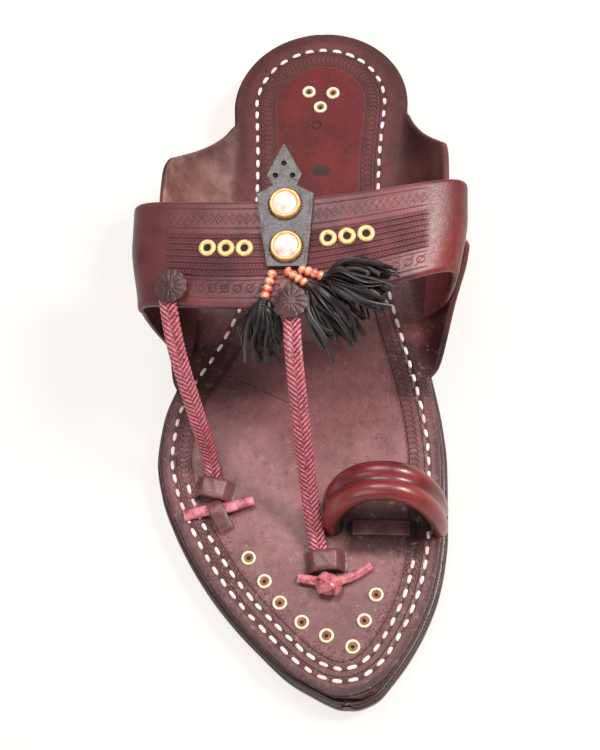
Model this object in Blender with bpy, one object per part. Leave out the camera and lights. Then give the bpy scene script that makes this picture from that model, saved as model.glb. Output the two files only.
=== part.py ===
"""Kolhapuri sandal for the right foot, built from its separate leather and metal pieces.

Frame: metres, +Z up, the floor at z = 0, the toe towards -Y and the medial side towards +X.
The origin is on the floor, under the centre of the round heel. The tables and the functions
work in millimetres, and MM turns their points into metres.
"""
import math

import bmesh
import bpy
import numpy as np
from mathutils import Vector

for old in list(bpy.data.objects):
    bpy.data.objects.remove(old, do_unlink=True)

MM = 0.001

# Sole sizes
HEEL_RADIUS = 35.5
TOE_TO_HEEL_CENTRE = 245.0
BALL_HALF_WIDTH = 56.0
HEEL_HEIGHT = 9.0
HEEL_BREAST = 40.0
OUTSOLE_T = 4.5
MIDSOLE_T = 3.0
INSOLE_T = 3.2
EDGE_ROUND = 0.8
TOE_SPRING = 4.0
SPRING_LENGTH = 60.0
ARCH_FOOT = 120.0
ARCH_BEHIND_BREAST = 2.0
RIM_AT_TOE = 2.8
RIM_AT_HEEL = 0.8
HEEL_LIFT_GROOVE = 0.6

# Clearance between neighbouring pieces
GAP = 0.3

# Side flaps
EAR_T = 2.6
EAR_RISE = 28.0
EAR_HALF_SPAN = 60.0
EAR_LENGTH = 114.0
EAR_FRONT = 122.0
EAR_SKEW = 5.0
EAR_WEAVE_LATERAL = 6.0
EAR_WEAVE_MEDIAL = 8.0
SPAN_CENTRE = -1.2
FRONT_PINCH = 3.5

# Instep band
BAND_WIDTH = 40.0
BAND_HALF_SPAN = 61.5
BAND_T = 3.0
BAND_END_T = 2.2
BAND_TOP = 66.0
BAND_SHOULDER = 50.0
BAND_TILT = 5.0
BAND_SWEEP = 9.0
BAND_SKEW = 5.0
BAND_MIDLINE = 148.0
BAND_NARROWS = 6.2
BAND_END_NARROWS = 1.6
BAND_NARROWS_FROM = 0.2
BAND_SQUARENESS = 2.6
SLOT_FROM = 0.62
SLOT_TO = 0.74

# Braided straps
BRAID_WIDTH = 6.0
BRAID_T = 3.4
BRAID_RIDGE = 0.7
BRAID_PITCH = 3.2
BRAID_SLANT = 0.55
BRAID_SEAT = 0.9
BRAID_TAPER = 14.0
BRAID_END_SHARE = 0.45
BRAID_START = 0.12
CENTRE_BRAID_X = -1.0
LATERAL_BRAID_X = -45.0

# Keepers, knot and toggle
KEEPER_WIDTH = 8.0
KEEPER_SPAN = 16.0
KEEPER_RISE = 3.9
KEEPER_T = 1.5
KEEPER_FOOT = 0.12
KEEPER_FLAT = 0.5
CENTRE_KEEPER = 53.0
CENTRE_KEEPER_X = 8.4
CENTRE_KEEPER_TURN = 6.0
LATERAL_KEEPER = 80.5
LATERAL_KEEPER_X = -34.5
LATERAL_KEEPER_TURN = -12.0
KNOT_R = 4.4
KNOT_X = 10.2
KNOT_AHEAD = 9.0
KNOT_FLATNESS = 0.72
THONG_WIDTH = 4.2
THONG_T = 1.8
FOLD_WIDTH = 6.1

# Toe ring
RING_HALF_SPAN = 19.4
RING_HEIGHT = 27.0
RING_SQUARENESS = 2.3
RING_ROLL_R = 3.9
RING_ROLL_SPACING = 6.8
RING_LEAN = 5.5
RING_X = 30.0
RING_FROM_TOE = 70.5
STRIP_WIDTH = 8.0
STRIP_HALF_SPAN = 11.4
STRIP_X = 28.6
STRIP_T = 1.4

# Trim
EYELET_R = 2.8
BAND_EYELET_R = 3.2
EYELET_HOLE = 0.5
EYELET_T = 0.9
STUD_R = 5.8
STUD_RIM = 1.4
STUD_T = 2.0
PLATE_LENGTH = 46.5
PLATE_WIDTH = 20.5
PLATE_T = 1.6
PLATE_X = -3.8
PLATE_SLANT = 0.055
PLATE_PIVOT = 0.7
PLATE_OVERHANG = 20.0
CENTRE_ROSETTE_R = 5.7
CENTRE_ROSETTE_SHARE = 0.0
LATERAL_ROSETTE_R = 5.9
LATERAL_ROSETTE_SHARE = 0.15
LATERAL_ROSETTE_X = -43.5
ROSETTE_T = 1.4
ROSETTE_LIFT = 3.2
ROSETTE_SCALLOPS = 12
ROSETTE_SAG = 0.03
ROSETTE_BEND = 0.022
BEAD_R = 1.45
TASSEL_LENGTH = 27.0
TASSEL_STRIPS = 8
TASSEL_HEAD = 0.18
TASSEL_HEAD_R = 1.9
TASSEL_GROOVE = 0.45
TASSEL_UNEVEN = 2.0

# Outline of the sole, a row for each section from the toe tip back to the heel's centre:
# share of that length, then the reach to the lateral and the medial side as shares of
# half the ball width.
OUTLINE_COLUMNS = ("along", "lateral", "medial")
OUTLINE_ROWS = (
    (0.000, -0.285, 0.355),
    (0.004, -0.215, 0.430),
    (0.016, -0.105, 0.520),
    (0.037, 0.060, 0.594),
    (0.077, 0.262, 0.712),
    (0.122, 0.460, 0.812),
    (0.175, 0.652, 0.893),
    (0.224, 0.795, 0.932),
    (0.268, 0.900, 0.948),
    (0.325, 1.004, 0.946),
    (0.386, 1.055, 0.940),
    (0.447, 1.035, 0.908),
    (0.512, 0.945, 0.850),
    (0.589, 0.760, 0.765),
    (0.671, 0.632, 0.680),
    (0.772, 0.588, 0.607),
    (0.874, 0.598, 0.602),
    (1.000, 0.634, 0.634),
)

# Rim of a side flap, a row for each fold from its front end to its rear end: share of the
# flap's length, rise as a share of its full rise, and reach as a share of the way from the
# sole's edge to the rim's full span.
EAR_COLUMNS = ("along", "rise", "reach")
EAR_ROWS = (
    (0.00, 0.00, 0.00),
    (0.03, 0.03, 0.30),
    (0.09, 0.14, 0.54),
    (0.20, 0.52, 0.84),
    (0.31, 0.84, 0.98),
    (0.42, 0.97, 1.00),
    (0.55, 1.00, 1.00),
    (0.66, 0.98, 0.99),
    (0.73, 0.86, 0.95),
    (0.78, 0.63, 0.80),
    (0.83, 0.41, 0.58),
    (0.89, 0.20, 0.33),
    (0.95, 0.06, 0.12),
    (1.00, 0.00, 0.00),
)

# The plate's outline from its tip: share of its length, share of half its width.
PLATE_ROWS = (
    (0.00, 0.03),
    (0.25, 0.61),
    (0.34, 0.42),
    (0.41, 1.00),
    (0.70, 0.86),
    (1.00, 0.68),
)

# Free part of each braid: X, distance from the toe tip and height, in millimetres.
BRAID_BEND_COLUMNS = ("x", "from_tip", "z")
CENTRE_BRAID_BENDS = ((-0.3, 113.0, 69.0), (1.4, 92.0, 48.0), (3.0, 74.0, 26.0))
LATERAL_BRAID_BENDS = ((-43.3, 116.0, 59.0), (-38.6, 100.0, 37.0))

# Its end on the insole: X, distance from the toe tip and lift above the insole.
BRAID_LANDING_COLUMNS = ("x", "from_tip", "lift")
CENTRE_BRAID_LANDING = ((4.9, 62.0, 4.0), (7.0, 51.0, 1.5))
LATERAL_BRAID_LANDING = ((-36.3, 92.0, 8.0), (-35.5, 86.0, 2.9), (-34.7, 78.0, 1.5))

# Tied ends, a row for each bend. The knot's tails: X and distance back from the knot, and
# rise. The toggle and the braid's folded end: X, distance from the toe tip, and rise.
TAIL_COLUMNS = ("x", "back", "rise")
LATERAL_TAIL = ((0.0, 0.6, 1.6), (-11.5, 2.6, 0.25))
MEDIAL_TAIL = ((0.0, 0.6, 1.6), (8.0, 3.4, 0.25), (15.0, 8.0, 0.25))
ROUTE_COLUMNS = ("x", "from_tip", "rise")
TOGGLE_ROUTE = ((-45.5, 70.0, 0.1), (-38.0, 72.0, 0.5), (-28.0, 73.3, 1.9), (-19.5, 76.5, 1.3))
FOLD_ROUTE = ((-34.5, 75.0, 1.4), (-33.0, 72.0, 2.6), (-30.6, 67.5, 1.3), (-29.0, 65.0, 0.2))

# Studs: name, share of the plate's length from its tip.
STUD_PLACES = (("rear_stud", 0.497), ("front_stud", 0.845))

# Eyelets of the band: distance from the middle in millimetres, share of the band's width.
BAND_EYELETS = (
    (-32.0, 0.55),
    (-25.3, 0.55),
    (-18.6, 0.55),
    (11.0, 0.58),
    (17.7, 0.57),
    (24.4, 0.56),
)

# Eyelets of the toe: share of the length from the toe, share of the way across.
TOE_EYELETS = (
    (0.222, 0.228),
    (0.186, 0.254),
    (0.153, 0.281),
    (0.124, 0.353),
    (0.104, 0.472),
    (0.088, 0.636),
    (0.128, 0.702),
    (0.168, 0.753),
)

# Eyelets of the heel: X and Y as shares of the heel's radius.
HEEL_EYELETS = ((-0.14, 0.17), (0.14, 0.15), (0.0, -0.04))

# Bead strings: the start and the end of each, as X and share of the band's width.
BEAD_STRINGS = (
    ((-7.9, 0.288), (-10.6, 0.060)),
    ((-3.6, 0.288), (4.0, 0.160)),
    ((1.2, 0.290), (10.0, 0.205)),
)

# Tassels, one on each bead string: spread and droop in millimetres, then the route as
# shares of the tassel's length from the string's end.
TASSELS = (
    (4.6, 4.4, ((0.0, 0.0, 0.03), (-0.03, -0.16, 0.03), (-0.06, -0.34, -0.12), (-0.09, -0.52, -0.74))),
    (5.0, 5.0, ((0.0, 0.0, 0.03), (0.17, -0.13, 0.05), (0.40, -0.32, 0.00), (0.70, -0.60, -0.36))),
    (6.2, 4.2, ((0.0, 0.0, 0.05), (0.20, -0.02, 0.11), (0.48, -0.08, 0.13), (0.84, -0.18, 0.04))),
)


def smooth_table(rows, column, places):
    """Reads a table's column at the given places, with a smooth curve between its rows."""
    xs = np.array([row[0] for row in rows])
    ys = np.array([row[column] for row in rows])
    slopes = np.diff(ys) / np.diff(xs)
    tangents = np.zeros(len(xs))
    for i in range(1, len(xs) - 1):
        if slopes[i - 1] * slopes[i] > 0:
            tangents[i] = 2 * slopes[i - 1] * slopes[i] / (slopes[i - 1] + slopes[i])
    tangents[0] = slopes[0]
    tangents[-1] = slopes[-1]
    places = np.clip(places, xs[0], xs[-1])
    i = np.clip(np.searchsorted(xs, places, side="right") - 1, 0, len(xs) - 2)
    step = xs[i + 1] - xs[i]
    t = (places - xs[i]) / step
    return (
        (1 + 2 * t) * (1 - t) ** 2 * ys[i]
        + t * (1 - t) ** 2 * step * tangents[i]
        + t * t * (3 - 2 * t) * ys[i + 1]
        + t * t * (t - 1) * step * tangents[i + 1]
    )


def smoothstep(value):
    """Rises smoothly from 0 to 1 as the value goes from 0 to 1."""
    value = min(max(value, 0.0), 1.0)
    return value * value * (3 - 2 * value)


def from_toe(distance):
    """The Y place of a point this far back from the toe tip."""
    return distance - TOE_TO_HEEL_CENTRE


# The sole's outline

OUTLINE_POINTS = 240
root_rows = [(math.sqrt(row[0]), row[1], row[2]) for row in OUTLINE_ROWS]


def side_curve(side):
    """Points of one side of the sole from the toe tip to the back of the heel.

    Side -1 is lateral and side +1 medial. The table is read against the root of the
    distance from the toe, which rounds the tip, and the heel is an arc.
    """
    roots = np.linspace(0, 1, OUTLINE_POINTS)
    column = OUTLINE_COLUMNS.index("medial" if side > 0 else "lateral")
    x = side * BALL_HALF_WIDTH * smooth_table(root_rows, column, roots)
    y = from_toe(TOE_TO_HEEL_CENTRE * roots**2)
    heel_half = abs(x[-1])
    angles = np.linspace(0, math.pi / 2, OUTLINE_POINTS // 4)[1:]
    x = np.concatenate([x, side * heel_half * np.cos(angles)])
    y = np.concatenate([y, HEEL_RADIUS * np.sin(angles)])
    return x, y


def inset_curve(side, toe_inset, heel_inset):
    """The side's curve moved inwards, by one amount at the toe and another at the heel."""
    x, y = side_curve(side)
    dx = np.gradient(x)
    dy = np.gradient(y)
    length = np.hypot(dx, dy)
    share = (y - from_toe(0)) / TOE_TO_HEEL_CENTRE
    blend = np.array([smoothstep((s - 0.45) / 0.3) for s in share])
    inset = toe_inset + (heel_inset - toe_inset) * blend
    return x - side * inset * dy / length, y + side * inset * dx / length


def edges(toe_inset, heel_inset):
    """A function giving the lateral and medial edge at a Y, with the first and last Y."""
    lateral = inset_curve(-1, toe_inset, heel_inset)
    medial = inset_curve(1, toe_inset, heel_inset)

    def at(y):
        x0 = np.interp(y, lateral[1], lateral[0])
        x1 = np.interp(y, medial[1], medial[0])
        return float(x0), float(x1)

    least = 4.0
    probe = np.linspace(max(lateral[1][0], medial[1][0]), HEEL_RADIUS, 1200)
    wide = [y for y in probe if at(y)[1] - at(y)[0] > least]
    return at, wide[0], wide[-1]


# Heights

def sole_bottom(y):
    """Lowest side of the outsole: flat on the heel, down the arch, flat, then toe spring."""
    arch_top = -HEEL_BREAST - ARCH_BEHIND_BREAST
    arch_foot = from_toe(ARCH_FOOT)
    raised = HEEL_HEIGHT + GAP
    arch = raised * smoothstep((y - arch_foot) / (arch_top - arch_foot))
    spring_from = from_toe(SPRING_LENGTH)
    spring = max(0.0, (spring_from - y) / (spring_from - from_toe(0)))
    return arch + TOE_SPRING * spring**2


def insole_top(y):
    """Top face of the insole along the middle of the sole."""
    return sole_bottom(y) + OUTSOLE_T + MIDSOLE_T + INSOLE_T + 2 * GAP


# Mesh helpers

def material(name, color, roughness, metallic=0.0):
    """A plain principled material."""
    made = bpy.data.materials.new(name)
    made.use_nodes = True
    shader = made.node_tree.nodes["Principled BSDF"]
    shader.inputs["Base Color"].default_value = (*color, 1.0)
    shader.inputs["Roughness"].default_value = roughness
    shader.inputs["Metallic"].default_value = metallic
    return made


def add_object(name, points, faces, look, smooth_angle=40):
    """A closed mesh object from points in millimetres, with its faces turned outwards."""
    mesh = bpy.data.meshes.new(name)
    mesh.from_pydata([tuple(float(c) * MM for c in p) for p in points], [], faces)
    work = bmesh.new()
    work.from_mesh(mesh)
    bmesh.ops.recalc_face_normals(work, faces=work.faces)
    work.to_mesh(mesh)
    work.free()
    mesh.materials.append(look)
    mesh.shade_smooth()
    mesh.set_sharp_from_angle(angle=math.radians(smooth_angle))
    made = bpy.data.objects.new(name, mesh)
    bpy.context.scene.collection.objects.link(made)
    return made


def shell(name, upper_grid, lower_grid, look, holes=()):
    """A sheet with two faces from two grids of points, with walls at borders and holes.

    A hole is the (row, column) of a cell that is left out.
    """
    rows = len(upper_grid)
    columns = len(upper_grid[0])
    points = [p for row in upper_grid for p in row] + [p for row in lower_grid for p in row]
    other = rows * columns
    missing = set(holes)

    def present(r, c):
        return 0 <= r < rows - 1 and 0 <= c < columns - 1 and (r, c) not in missing

    faces = []
    used = set()
    for r in range(rows - 1):
        for c in range(columns - 1):
            if not present(r, c):
                continue
            a = r * columns + c
            b = a + 1
            d = a + columns
            e = d + 1
            faces.append((a, b, e, d))
            faces.append((a + other, d + other, e + other, b + other))
            for near, far, beside in (
                (a, b, (r - 1, c)),
                (b, e, (r, c + 1)),
                (e, d, (r + 1, c)),
                (d, a, (r, c - 1)),
            ):
                if not present(*beside):
                    faces.append((far, near, near + other, far + other))
            used.update((a, b, d, e))
    keep = sorted(used | {i + other for i in used})
    renamed = {old: new for new, old in enumerate(keep)}
    faces = [tuple(renamed[i] for i in face) for face in faces]
    return add_object(name, [points[i] for i in keep], faces, look)


def loft(name, rings, look):
    """A tube through rings of points, with a flat cap on each end."""
    count = len(rings[0])
    points = [p for ring in rings for p in ring]
    faces = []
    for i in range(len(rings) - 1):
        for j in range(count):
            a = i * count + j
            b = i * count + (j + 1) % count
            faces.append((a, b, b + count, a + count))
    faces.append(tuple(range(count)))
    faces.append(tuple(range(len(points) - count, len(points))))
    return add_object(name, points, faces, look)


def helper(made):
    """Marks an object as one that only shapes another."""
    made.hide_render = True
    made.display_type = "WIRE"
    return made


def combine(base, tool, operation):
    """Adds a Boolean that joins the tool to the base, or cuts it out."""
    helper(tool)
    step = base.modifiers.new(operation.title() + " " + tool.name, "BOOLEAN")
    step.operation = operation
    step.object = tool
    step.solver = "EXACT"


def curve_through(points, spacing):
    """Points at an even spacing along a smooth curve through the given points."""
    knots = [Vector(p) for p in points]
    ends = [2 * knots[0] - knots[1]] + knots + [2 * knots[-1] - knots[-2]]
    dense = []
    for i in range(1, len(ends) - 2):
        a, b, c, d = ends[i - 1], ends[i], ends[i + 1], ends[i + 2]
        for k in range(24):
            t = k / 24
            dense.append(
                0.5 * (2 * b + (c - a) * t + (2 * a - 5 * b + 4 * c - d) * t**2
                       + (3 * b - a - 3 * c + d) * t**3)
            )
    dense.append(knots[-1])
    lengths = [0.0]
    for i in range(1, len(dense)):
        lengths.append(lengths[-1] + (dense[i] - dense[i - 1]).length)
    count = max(2, round(lengths[-1] / spacing))
    wanted = np.linspace(0, lengths[-1], count + 1)
    return [
        Vector([np.interp(w, lengths, [p[axis] for p in dense]) for axis in range(3)])
        for w in wanted
    ]


def frames_along(path, first_up=Vector((0, 0, 1)), turn_over=1):
    """A tangent, a sideways and an upward direction at each point of a path.

    The upward direction starts at first_up and turns to +Z over that many points.
    """
    made = []
    for i in range(len(path)):
        tangent = (path[min(i + 1, len(path) - 1)] - path[max(i - 1, 0)]).normalized()
        up = first_up.lerp(Vector((0, 0, 1)), min(1.0, i / turn_over))
        side = tangent.cross(up).normalized()
        made.append((tangent, side, side.cross(tangent).normalized()))
    return made


# Looks

TAN = material("tan leather", (0.42, 0.22, 0.10), 0.6)
EDGE = material("edge leather", (0.055, 0.018, 0.016), 0.5)
OXBLOOD = material("oxblood leather", (0.14, 0.035, 0.04), 0.45)
CRIMSON = material("crimson leather", (0.38, 0.045, 0.08), 0.5)
RING_RED = material("ring leather", (0.18, 0.025, 0.025), 0.35)
SLATE = material("slate leather", (0.10, 0.08, 0.09), 0.5)
BLACK = material("black leather", (0.02, 0.012, 0.013), 0.6)
GOLD = material("gold", (0.85, 0.52, 0.26), 0.25, 1.0)
PEARL = material("pearl", (0.95, 0.86, 0.82), 0.15)
COPPER = material("bead copper", (0.85, 0.18, 0.10), 0.3, 0.6)


# Sole layers

def stations(first, last, count):
    """Y places from the toe to the heel, closer together at both round ends."""
    shares = (1 - np.cos(np.linspace(0, math.pi, count))) / 2
    even = np.linspace(0, 1, count)
    return first + (last - first) * (0.86 * shares + 0.14 * even)


def layer(name, toe_inset, heel_inset, low, high, look, places=None):
    """A flat layer of the sole between two heights, with rounded edges."""
    at, first, last = edges(toe_inset, heel_inset)
    if places is None:
        places = stations(first, last, 36)
    upper = []
    lower = []
    for y in places:
        x0, x1 = at(y)
        r = min(EDGE_ROUND, (x1 - x0) / 4)
        across = (x0, x0 + r, x1 - r, x1)
        drop = (r, 0.0, 0.0, r)
        upper.append([(x, y, high(y) - d) for x, d in zip(across, drop)])
        lower.append([(x, y, low(y) + d) for x, d in zip(across, drop)])
    return shell(name, upper, lower, look)


layer("outsole", 0.0, 0.0, sole_bottom, lambda y: sole_bottom(y) + OUTSOLE_T, TAN)
layer(
    "midsole",
    0.6,
    0.3,
    lambda y: sole_bottom(y) + OUTSOLE_T + GAP,
    lambda y: sole_bottom(y) + OUTSOLE_T + GAP + MIDSOLE_T,
    EDGE,
)


def heel_block():
    """The heel, with a shallow groove round its side between its two lifts."""
    at, _, last = edges(0.5, 0.5)
    ys = -HEEL_BREAST + (last + HEEL_BREAST) * np.sin(np.linspace(0, math.pi / 2, 14))
    levels = (
        (0.0, EDGE_ROUND),
        (EDGE_ROUND, 0.0),
        (HEEL_HEIGHT / 2 - HEEL_LIFT_GROOVE, 0.0),
        (HEEL_HEIGHT / 2, HEEL_LIFT_GROOVE),
        (HEEL_HEIGHT / 2 + HEEL_LIFT_GROOVE, 0.0),
        (HEEL_HEIGHT, 0.0),
    )
    rings = []
    for z, inset in levels:
        lateral = []
        medial = []
        for y in ys:
            x0, x1 = at(y)
            pull = 1 - inset / HEEL_RADIUS
            lateral.append((x0 * pull, y * pull, z))
            medial.append((x1 * pull, y * pull, z))
        rings.append(lateral + medial[::-1])
    loft("heel", rings, EDGE)


heel_block()


# Insole with its side flaps

insole_at, insole_first, insole_last = edges(RIM_AT_TOE, RIM_AT_HEEL)


def band_y(x, share):
    """Y of the band at this X, for a share of its width from the front to the rear edge.

    The front edge draws back towards both ends, the medial one most.
    """
    s = max(-1.0, min(1.0, x / BAND_HALF_SPAN))
    medial = (s + math.hypot(s, BAND_NARROWS_FROM)) / 2
    narrow = BAND_NARROWS * medial + BAND_END_NARROWS * s * s
    middle = from_toe(BAND_MIDLINE) + BAND_SKEW * s + BAND_SWEEP * s * s
    return middle + (share - 0.5) * BAND_WIDTH + (1 - share) * narrow


def front_pinch(side, y):
    """How much nearer the middle the flap and the band are towards the band's front edge."""
    behind = band_y(side * BAND_HALF_SPAN, SLOT_FROM)
    return FRONT_PINCH * smoothstep((behind - y) / (SLOT_FROM * BAND_WIDTH))


def ear_rim(side, y):
    """Rise above the insole and X of a flap's rim at this Y."""
    shift = EAR_SKEW if side > 0 else 0.0
    along = (y - from_toe(EAR_FRONT + shift)) / EAR_LENGTH
    edge = insole_at(y)[1 if side > 0 else 0]
    if along <= 0 or along >= 1:
        return 0.0, edge
    rise = EAR_RISE * float(smooth_table(EAR_ROWS, EAR_COLUMNS.index("rise"), along))
    reach = float(smooth_table(EAR_ROWS, EAR_COLUMNS.index("reach"), along))
    cross_from = band_y(side * BAND_HALF_SPAN, SLOT_FROM) - 2.0
    cross_to = band_y(side * BAND_HALF_SPAN, SLOT_TO) + 2.0
    depth = EAR_WEAVE_MEDIAL if side > 0 else EAR_WEAVE_LATERAL
    weave = depth * smoothstep((y - cross_from) / (cross_to - cross_from))
    full = SPAN_CENTRE + side * (EAR_HALF_SPAN - weave - front_pinch(side, y))
    return rise, edge + reach * (full - edge)


def ear_point(side, y, t, off):
    """A point of the flap's section at this Y.

    t runs from the sole's edge to the rim along the inner face, and off is the distance
    from that face, positive towards the outside.
    """
    rise, rim_x = ear_rim(side, y)
    edge = insole_at(y)[1 if side > 0 else 0] - side * EDGE_ROUND * 2
    top = insole_top(y)
    bend_x = edge + 0.62 * (rim_x - edge)
    x = (1 - t) ** 2 * edge + 2 * t * (1 - t) * bend_x + t * t * rim_x
    z = top + t * t * rise
    dx = 2 * (1 - t) * (bend_x - edge) + 2 * t * (rim_x - bend_x)
    dz = 2 * t * rise
    size = math.hypot(dx, dz)
    return x + off * dz / size * side * (1 if dx * side > 0 else -1), z - off * abs(dx) / size


def insole_with_ears():
    """The insole and both flaps as one sheet."""
    flap = np.linspace(0, 1, 7)
    cross = [band_y(side * BAND_HALF_SPAN, 0.68) for side in (-1, 1)]
    dense = np.arange(min(cross) - 8, max(cross) + 8, 2.5)
    rough = stations(insole_first, insole_last, 38)
    rest = [y for y in rough if y < dense[0] - 2 or y > dense[-1] + 2]
    ys = sorted(list(rest) + list(dense))
    upper = []
    lower = []
    for y in ys:
        top_row = []
        low_row = []
        for t in flap[::-1]:
            thickness = INSOLE_T + (EAR_T - INSOLE_T) * min(1.0, t * 2)
            x, z = ear_point(-1, y, t, 0.0)
            top_row.append((x, y, z))
            x, z = ear_point(-1, y, t, thickness)
            low_row.append((x, y, z))
        for t in flap:
            thickness = INSOLE_T + (EAR_T - INSOLE_T) * min(1.0, t * 2)
            x, z = ear_point(1, y, t, 0.0)
            top_row.append((x, y, z))
            x, z = ear_point(1, y, t, thickness)
            low_row.append((x, y, z))
        upper.append(top_row)
        lower.append(low_row)
    return shell("insole", upper, lower, OXBLOOD)


insole = insole_with_ears()


# Instep band

BAND_FLOOR = insole_top(from_toe(BAND_MIDLINE))
TAB_PATH = ((0.40, -1), (0.48, -1), (0.56, -0.4), (0.64, 0.45), (0.72, 1), (0.82, 1), (0.91, 1), (1.0, 1))
END_CLEAR = GAP + 0.1 + BAND_END_T / 2
CENTRE_SPAN = BAND_HALF_SPAN - BAND_T / 2


def tab_offset(place, tab):
    """Distance of the band's middle from the flap's inner face, inside it or outside it."""
    inside = -END_CLEAR
    outside = EAR_T + END_CLEAR
    wanted = inside + (outside - inside) * (place + 1) / 2
    return inside + (wanted - inside) * tab


def band_profile(share):
    """Middle line of the band at a share of its width, from the lateral to the medial end.

    Gives (x, y, z, thickness) rows. The ends follow the flaps, inside them at the front and
    outside them on the rear tab, and the rest is a flat-topped arch.
    """
    tab = smoothstep((share - SLOT_FROM) / (SLOT_TO - SLOT_FROM))
    top = BAND_FLOOR + BAND_TOP + (share - 1.0) * BAND_TILT - BAND_T / 2
    shoulder = BAND_FLOOR + BAND_SHOULDER + (share - 1.0) * BAND_TILT
    halves = []
    for side in (-1, 1):
        end_y = band_y(side * BAND_HALF_SPAN, share)
        span = side * (CENTRE_SPAN - front_pinch(side, end_y)) + SPAN_CENTRE
        rows = []
        for t, place in TAB_PATH:
            x, z = ear_point(side, end_y, t, tab_offset(place, tab))
            rows.append((x, end_y, z, BAND_END_T))
        rim_x, _, rim_z, _ = rows[-1]
        for rise in (0.1, 0.4, 0.7):
            x = rim_x + (span - rim_x) * math.sin(rise * math.pi / 2)
            z = rim_z + (shoulder - rim_z) * rise
            thickness = BAND_END_T + (BAND_T - BAND_END_T) * rise
            rows.append((x, end_y, z, thickness))
        for angle in (0, 13, 26, 40, 54, 66, 77, 84):
            bend = math.radians(angle)
            x = span * math.cos(bend) ** (2 / BAND_SQUARENESS)
            z = shoulder + (top - shoulder) * math.sin(bend) ** (2 / BAND_SQUARENESS)
            rows.append((x, band_y(x, share), z, BAND_T))
        halves.append(rows)
    middle = [(0.0, band_y(0.0, share), top, BAND_T)]
    return halves[0] + middle + halves[1][::-1]


def thicken(rows, extra=0.0):
    """Outer and inner points of a profile, moved off its middle line by half the thickness."""
    outer = []
    inner = []
    for i, (x, y, z, thickness) in enumerate(rows):
        ahead = rows[min(i + 1, len(rows) - 1)]
        behind = rows[max(i - 1, 0)]
        dx = ahead[0] - behind[0]
        dz = ahead[2] - behind[2]
        size = math.hypot(dx, dz)
        half = (thickness + extra) / 2
        outer.append((x - dz / size * half, y, z + dx / size * half))
        inner.append((x + dz / size * half, y, z - dx / size * half))
    return outer, inner


def band():
    """The band, open in a slot at each end where the flap passes through it."""
    shares = (0.0, 0.15, 0.31, 0.47, SLOT_FROM, SLOT_TO, 0.87, 1.0)
    pairs = [thicken(band_profile(share)) for share in shares]
    upper = [pair[0] for pair in pairs]
    lower = [pair[1] for pair in pairs]
    slot_row = shares.index(SLOT_FROM)
    last_column = len(upper[0]) - 2
    depth = len(TAB_PATH)
    holes = [(slot_row, c) for c in range(depth)]
    holes += [(slot_row, last_column - c) for c in range(depth)]
    return shell("upper", upper, lower, OXBLOOD, holes)


def cut_ear_slits():
    """Cuts the slit in each flap where the band's tab passes back to the inside."""
    margin = 0.4 / BAND_WIDTH
    crossing = range(1, 5)
    shares = (SLOT_TO - margin, 0.87, 1.0 + margin)
    profiles = [thicken(band_profile(share), extra=0.7) for share in shares]
    for side, label in ((-1, "lateral"), (1, "medial")):
        upper = []
        lower = []
        for outer, inner in profiles:
            picked = crossing if side < 0 else [len(outer) - 1 - i for i in crossing]
            upper.append([outer[i] for i in picked])
            lower.append([inner[i] for i in picked])
        combine(insole, shell(label + "_slit", upper, lower, EDGE), "DIFFERENCE")


upper = band()
cut_ear_slits()


def band_surface(x, share, lift=0.0):
    """A point on the band's outer face near its top, and the direction square to it."""
    profile = [row for row in band_profile(share)[len(TAB_PATH) + 3:-(len(TAB_PATH) + 3)]]
    xs = [row[0] for row in profile]
    zs = [row[2] for row in profile]
    step = 2.0
    z = np.interp(x, xs, zs)
    across = Vector((2 * step, 0, np.interp(x + step, xs, zs) - np.interp(x - step, xs, zs)))
    along = Vector((0, BAND_WIDTH, BAND_TILT))
    normal = across.cross(along).normalized()
    return Vector((x, band_y(x, share), z)) + normal * (BAND_T / 2 + lift), normal


# Braided straps

def braid(name, points, first_up):
    """A strap with its crossing strips raised in chevrons, as one wall."""
    path = curve_through(points, BRAID_PITCH / 2)
    count = len(path) - 1
    rings = []
    frames = frames_along(path, first_up, 14)
    for i, (centre, (tangent, side, up)) in enumerate(zip(path, frames)):
        from_end = min(i, count - i)
        slant = BRAID_SLANT * min(1.0, from_end / 4)
        full = min(1.0, from_end * BRAID_PITCH / 2 / BRAID_TAPER)
        scale = BRAID_END_SHARE + (1 - BRAID_END_SHARE) * full
        thick = BRAID_T * scale
        ridge = BRAID_RIDGE * scale * (i % 2)
        ring = []
        for across, height in ((-1, 0.0), (-0.62, 0.42), (0, 0.34), (0.62, 0.42), (1, 0.0)):
            shift = tangent * (1 - abs(across)) * slant * BRAID_WIDTH / 2
            lift = height * thick + (ridge if abs(across) == 0.62 else 0.0)
            ring.append(centre + side * across * BRAID_WIDTH / 2 + up * lift + shift)
        for across in (0.7, -0.7):
            shift = tangent * (1 - abs(across)) * slant * BRAID_WIDTH / 2
            ring.append(centre + side * across * BRAID_WIDTH / 2 - up * thick / 2 + shift)
        rings.append(ring)
    return loft(name, rings, CRIMSON)


def on_insole(x, from_tip, lift):
    """A point above the insole's top face."""
    y = from_toe(from_tip)
    return Vector((x, y, insole_top(y) + lift))


def braid_route(x_band, bends, landing):
    """Route of a strap: lying on the band, over its front edge, and down to the insole."""
    start, _ = band_surface(x_band, BRAID_START, BRAID_SEAT)
    edge, _ = band_surface(x_band, 0.0, BRAID_SEAT)
    free = [Vector((x, from_toe(from_tip), z)) for x, from_tip, z in bends]
    return [start, edge] + free + [on_insole(*row) for row in landing]


for label, x_band, bends, landing in (
    ("centre_braid", CENTRE_BRAID_X, CENTRE_BRAID_BENDS, CENTRE_BRAID_LANDING),
    ("lateral_braid", LATERAL_BRAID_X, LATERAL_BRAID_BENDS, LATERAL_BRAID_LANDING),
):
    first_up = band_surface(x_band, 0.0)[1]
    combine(upper, braid(label, braid_route(x_band, bends, landing), first_up), "UNION")


# Keepers and tied ends

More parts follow.
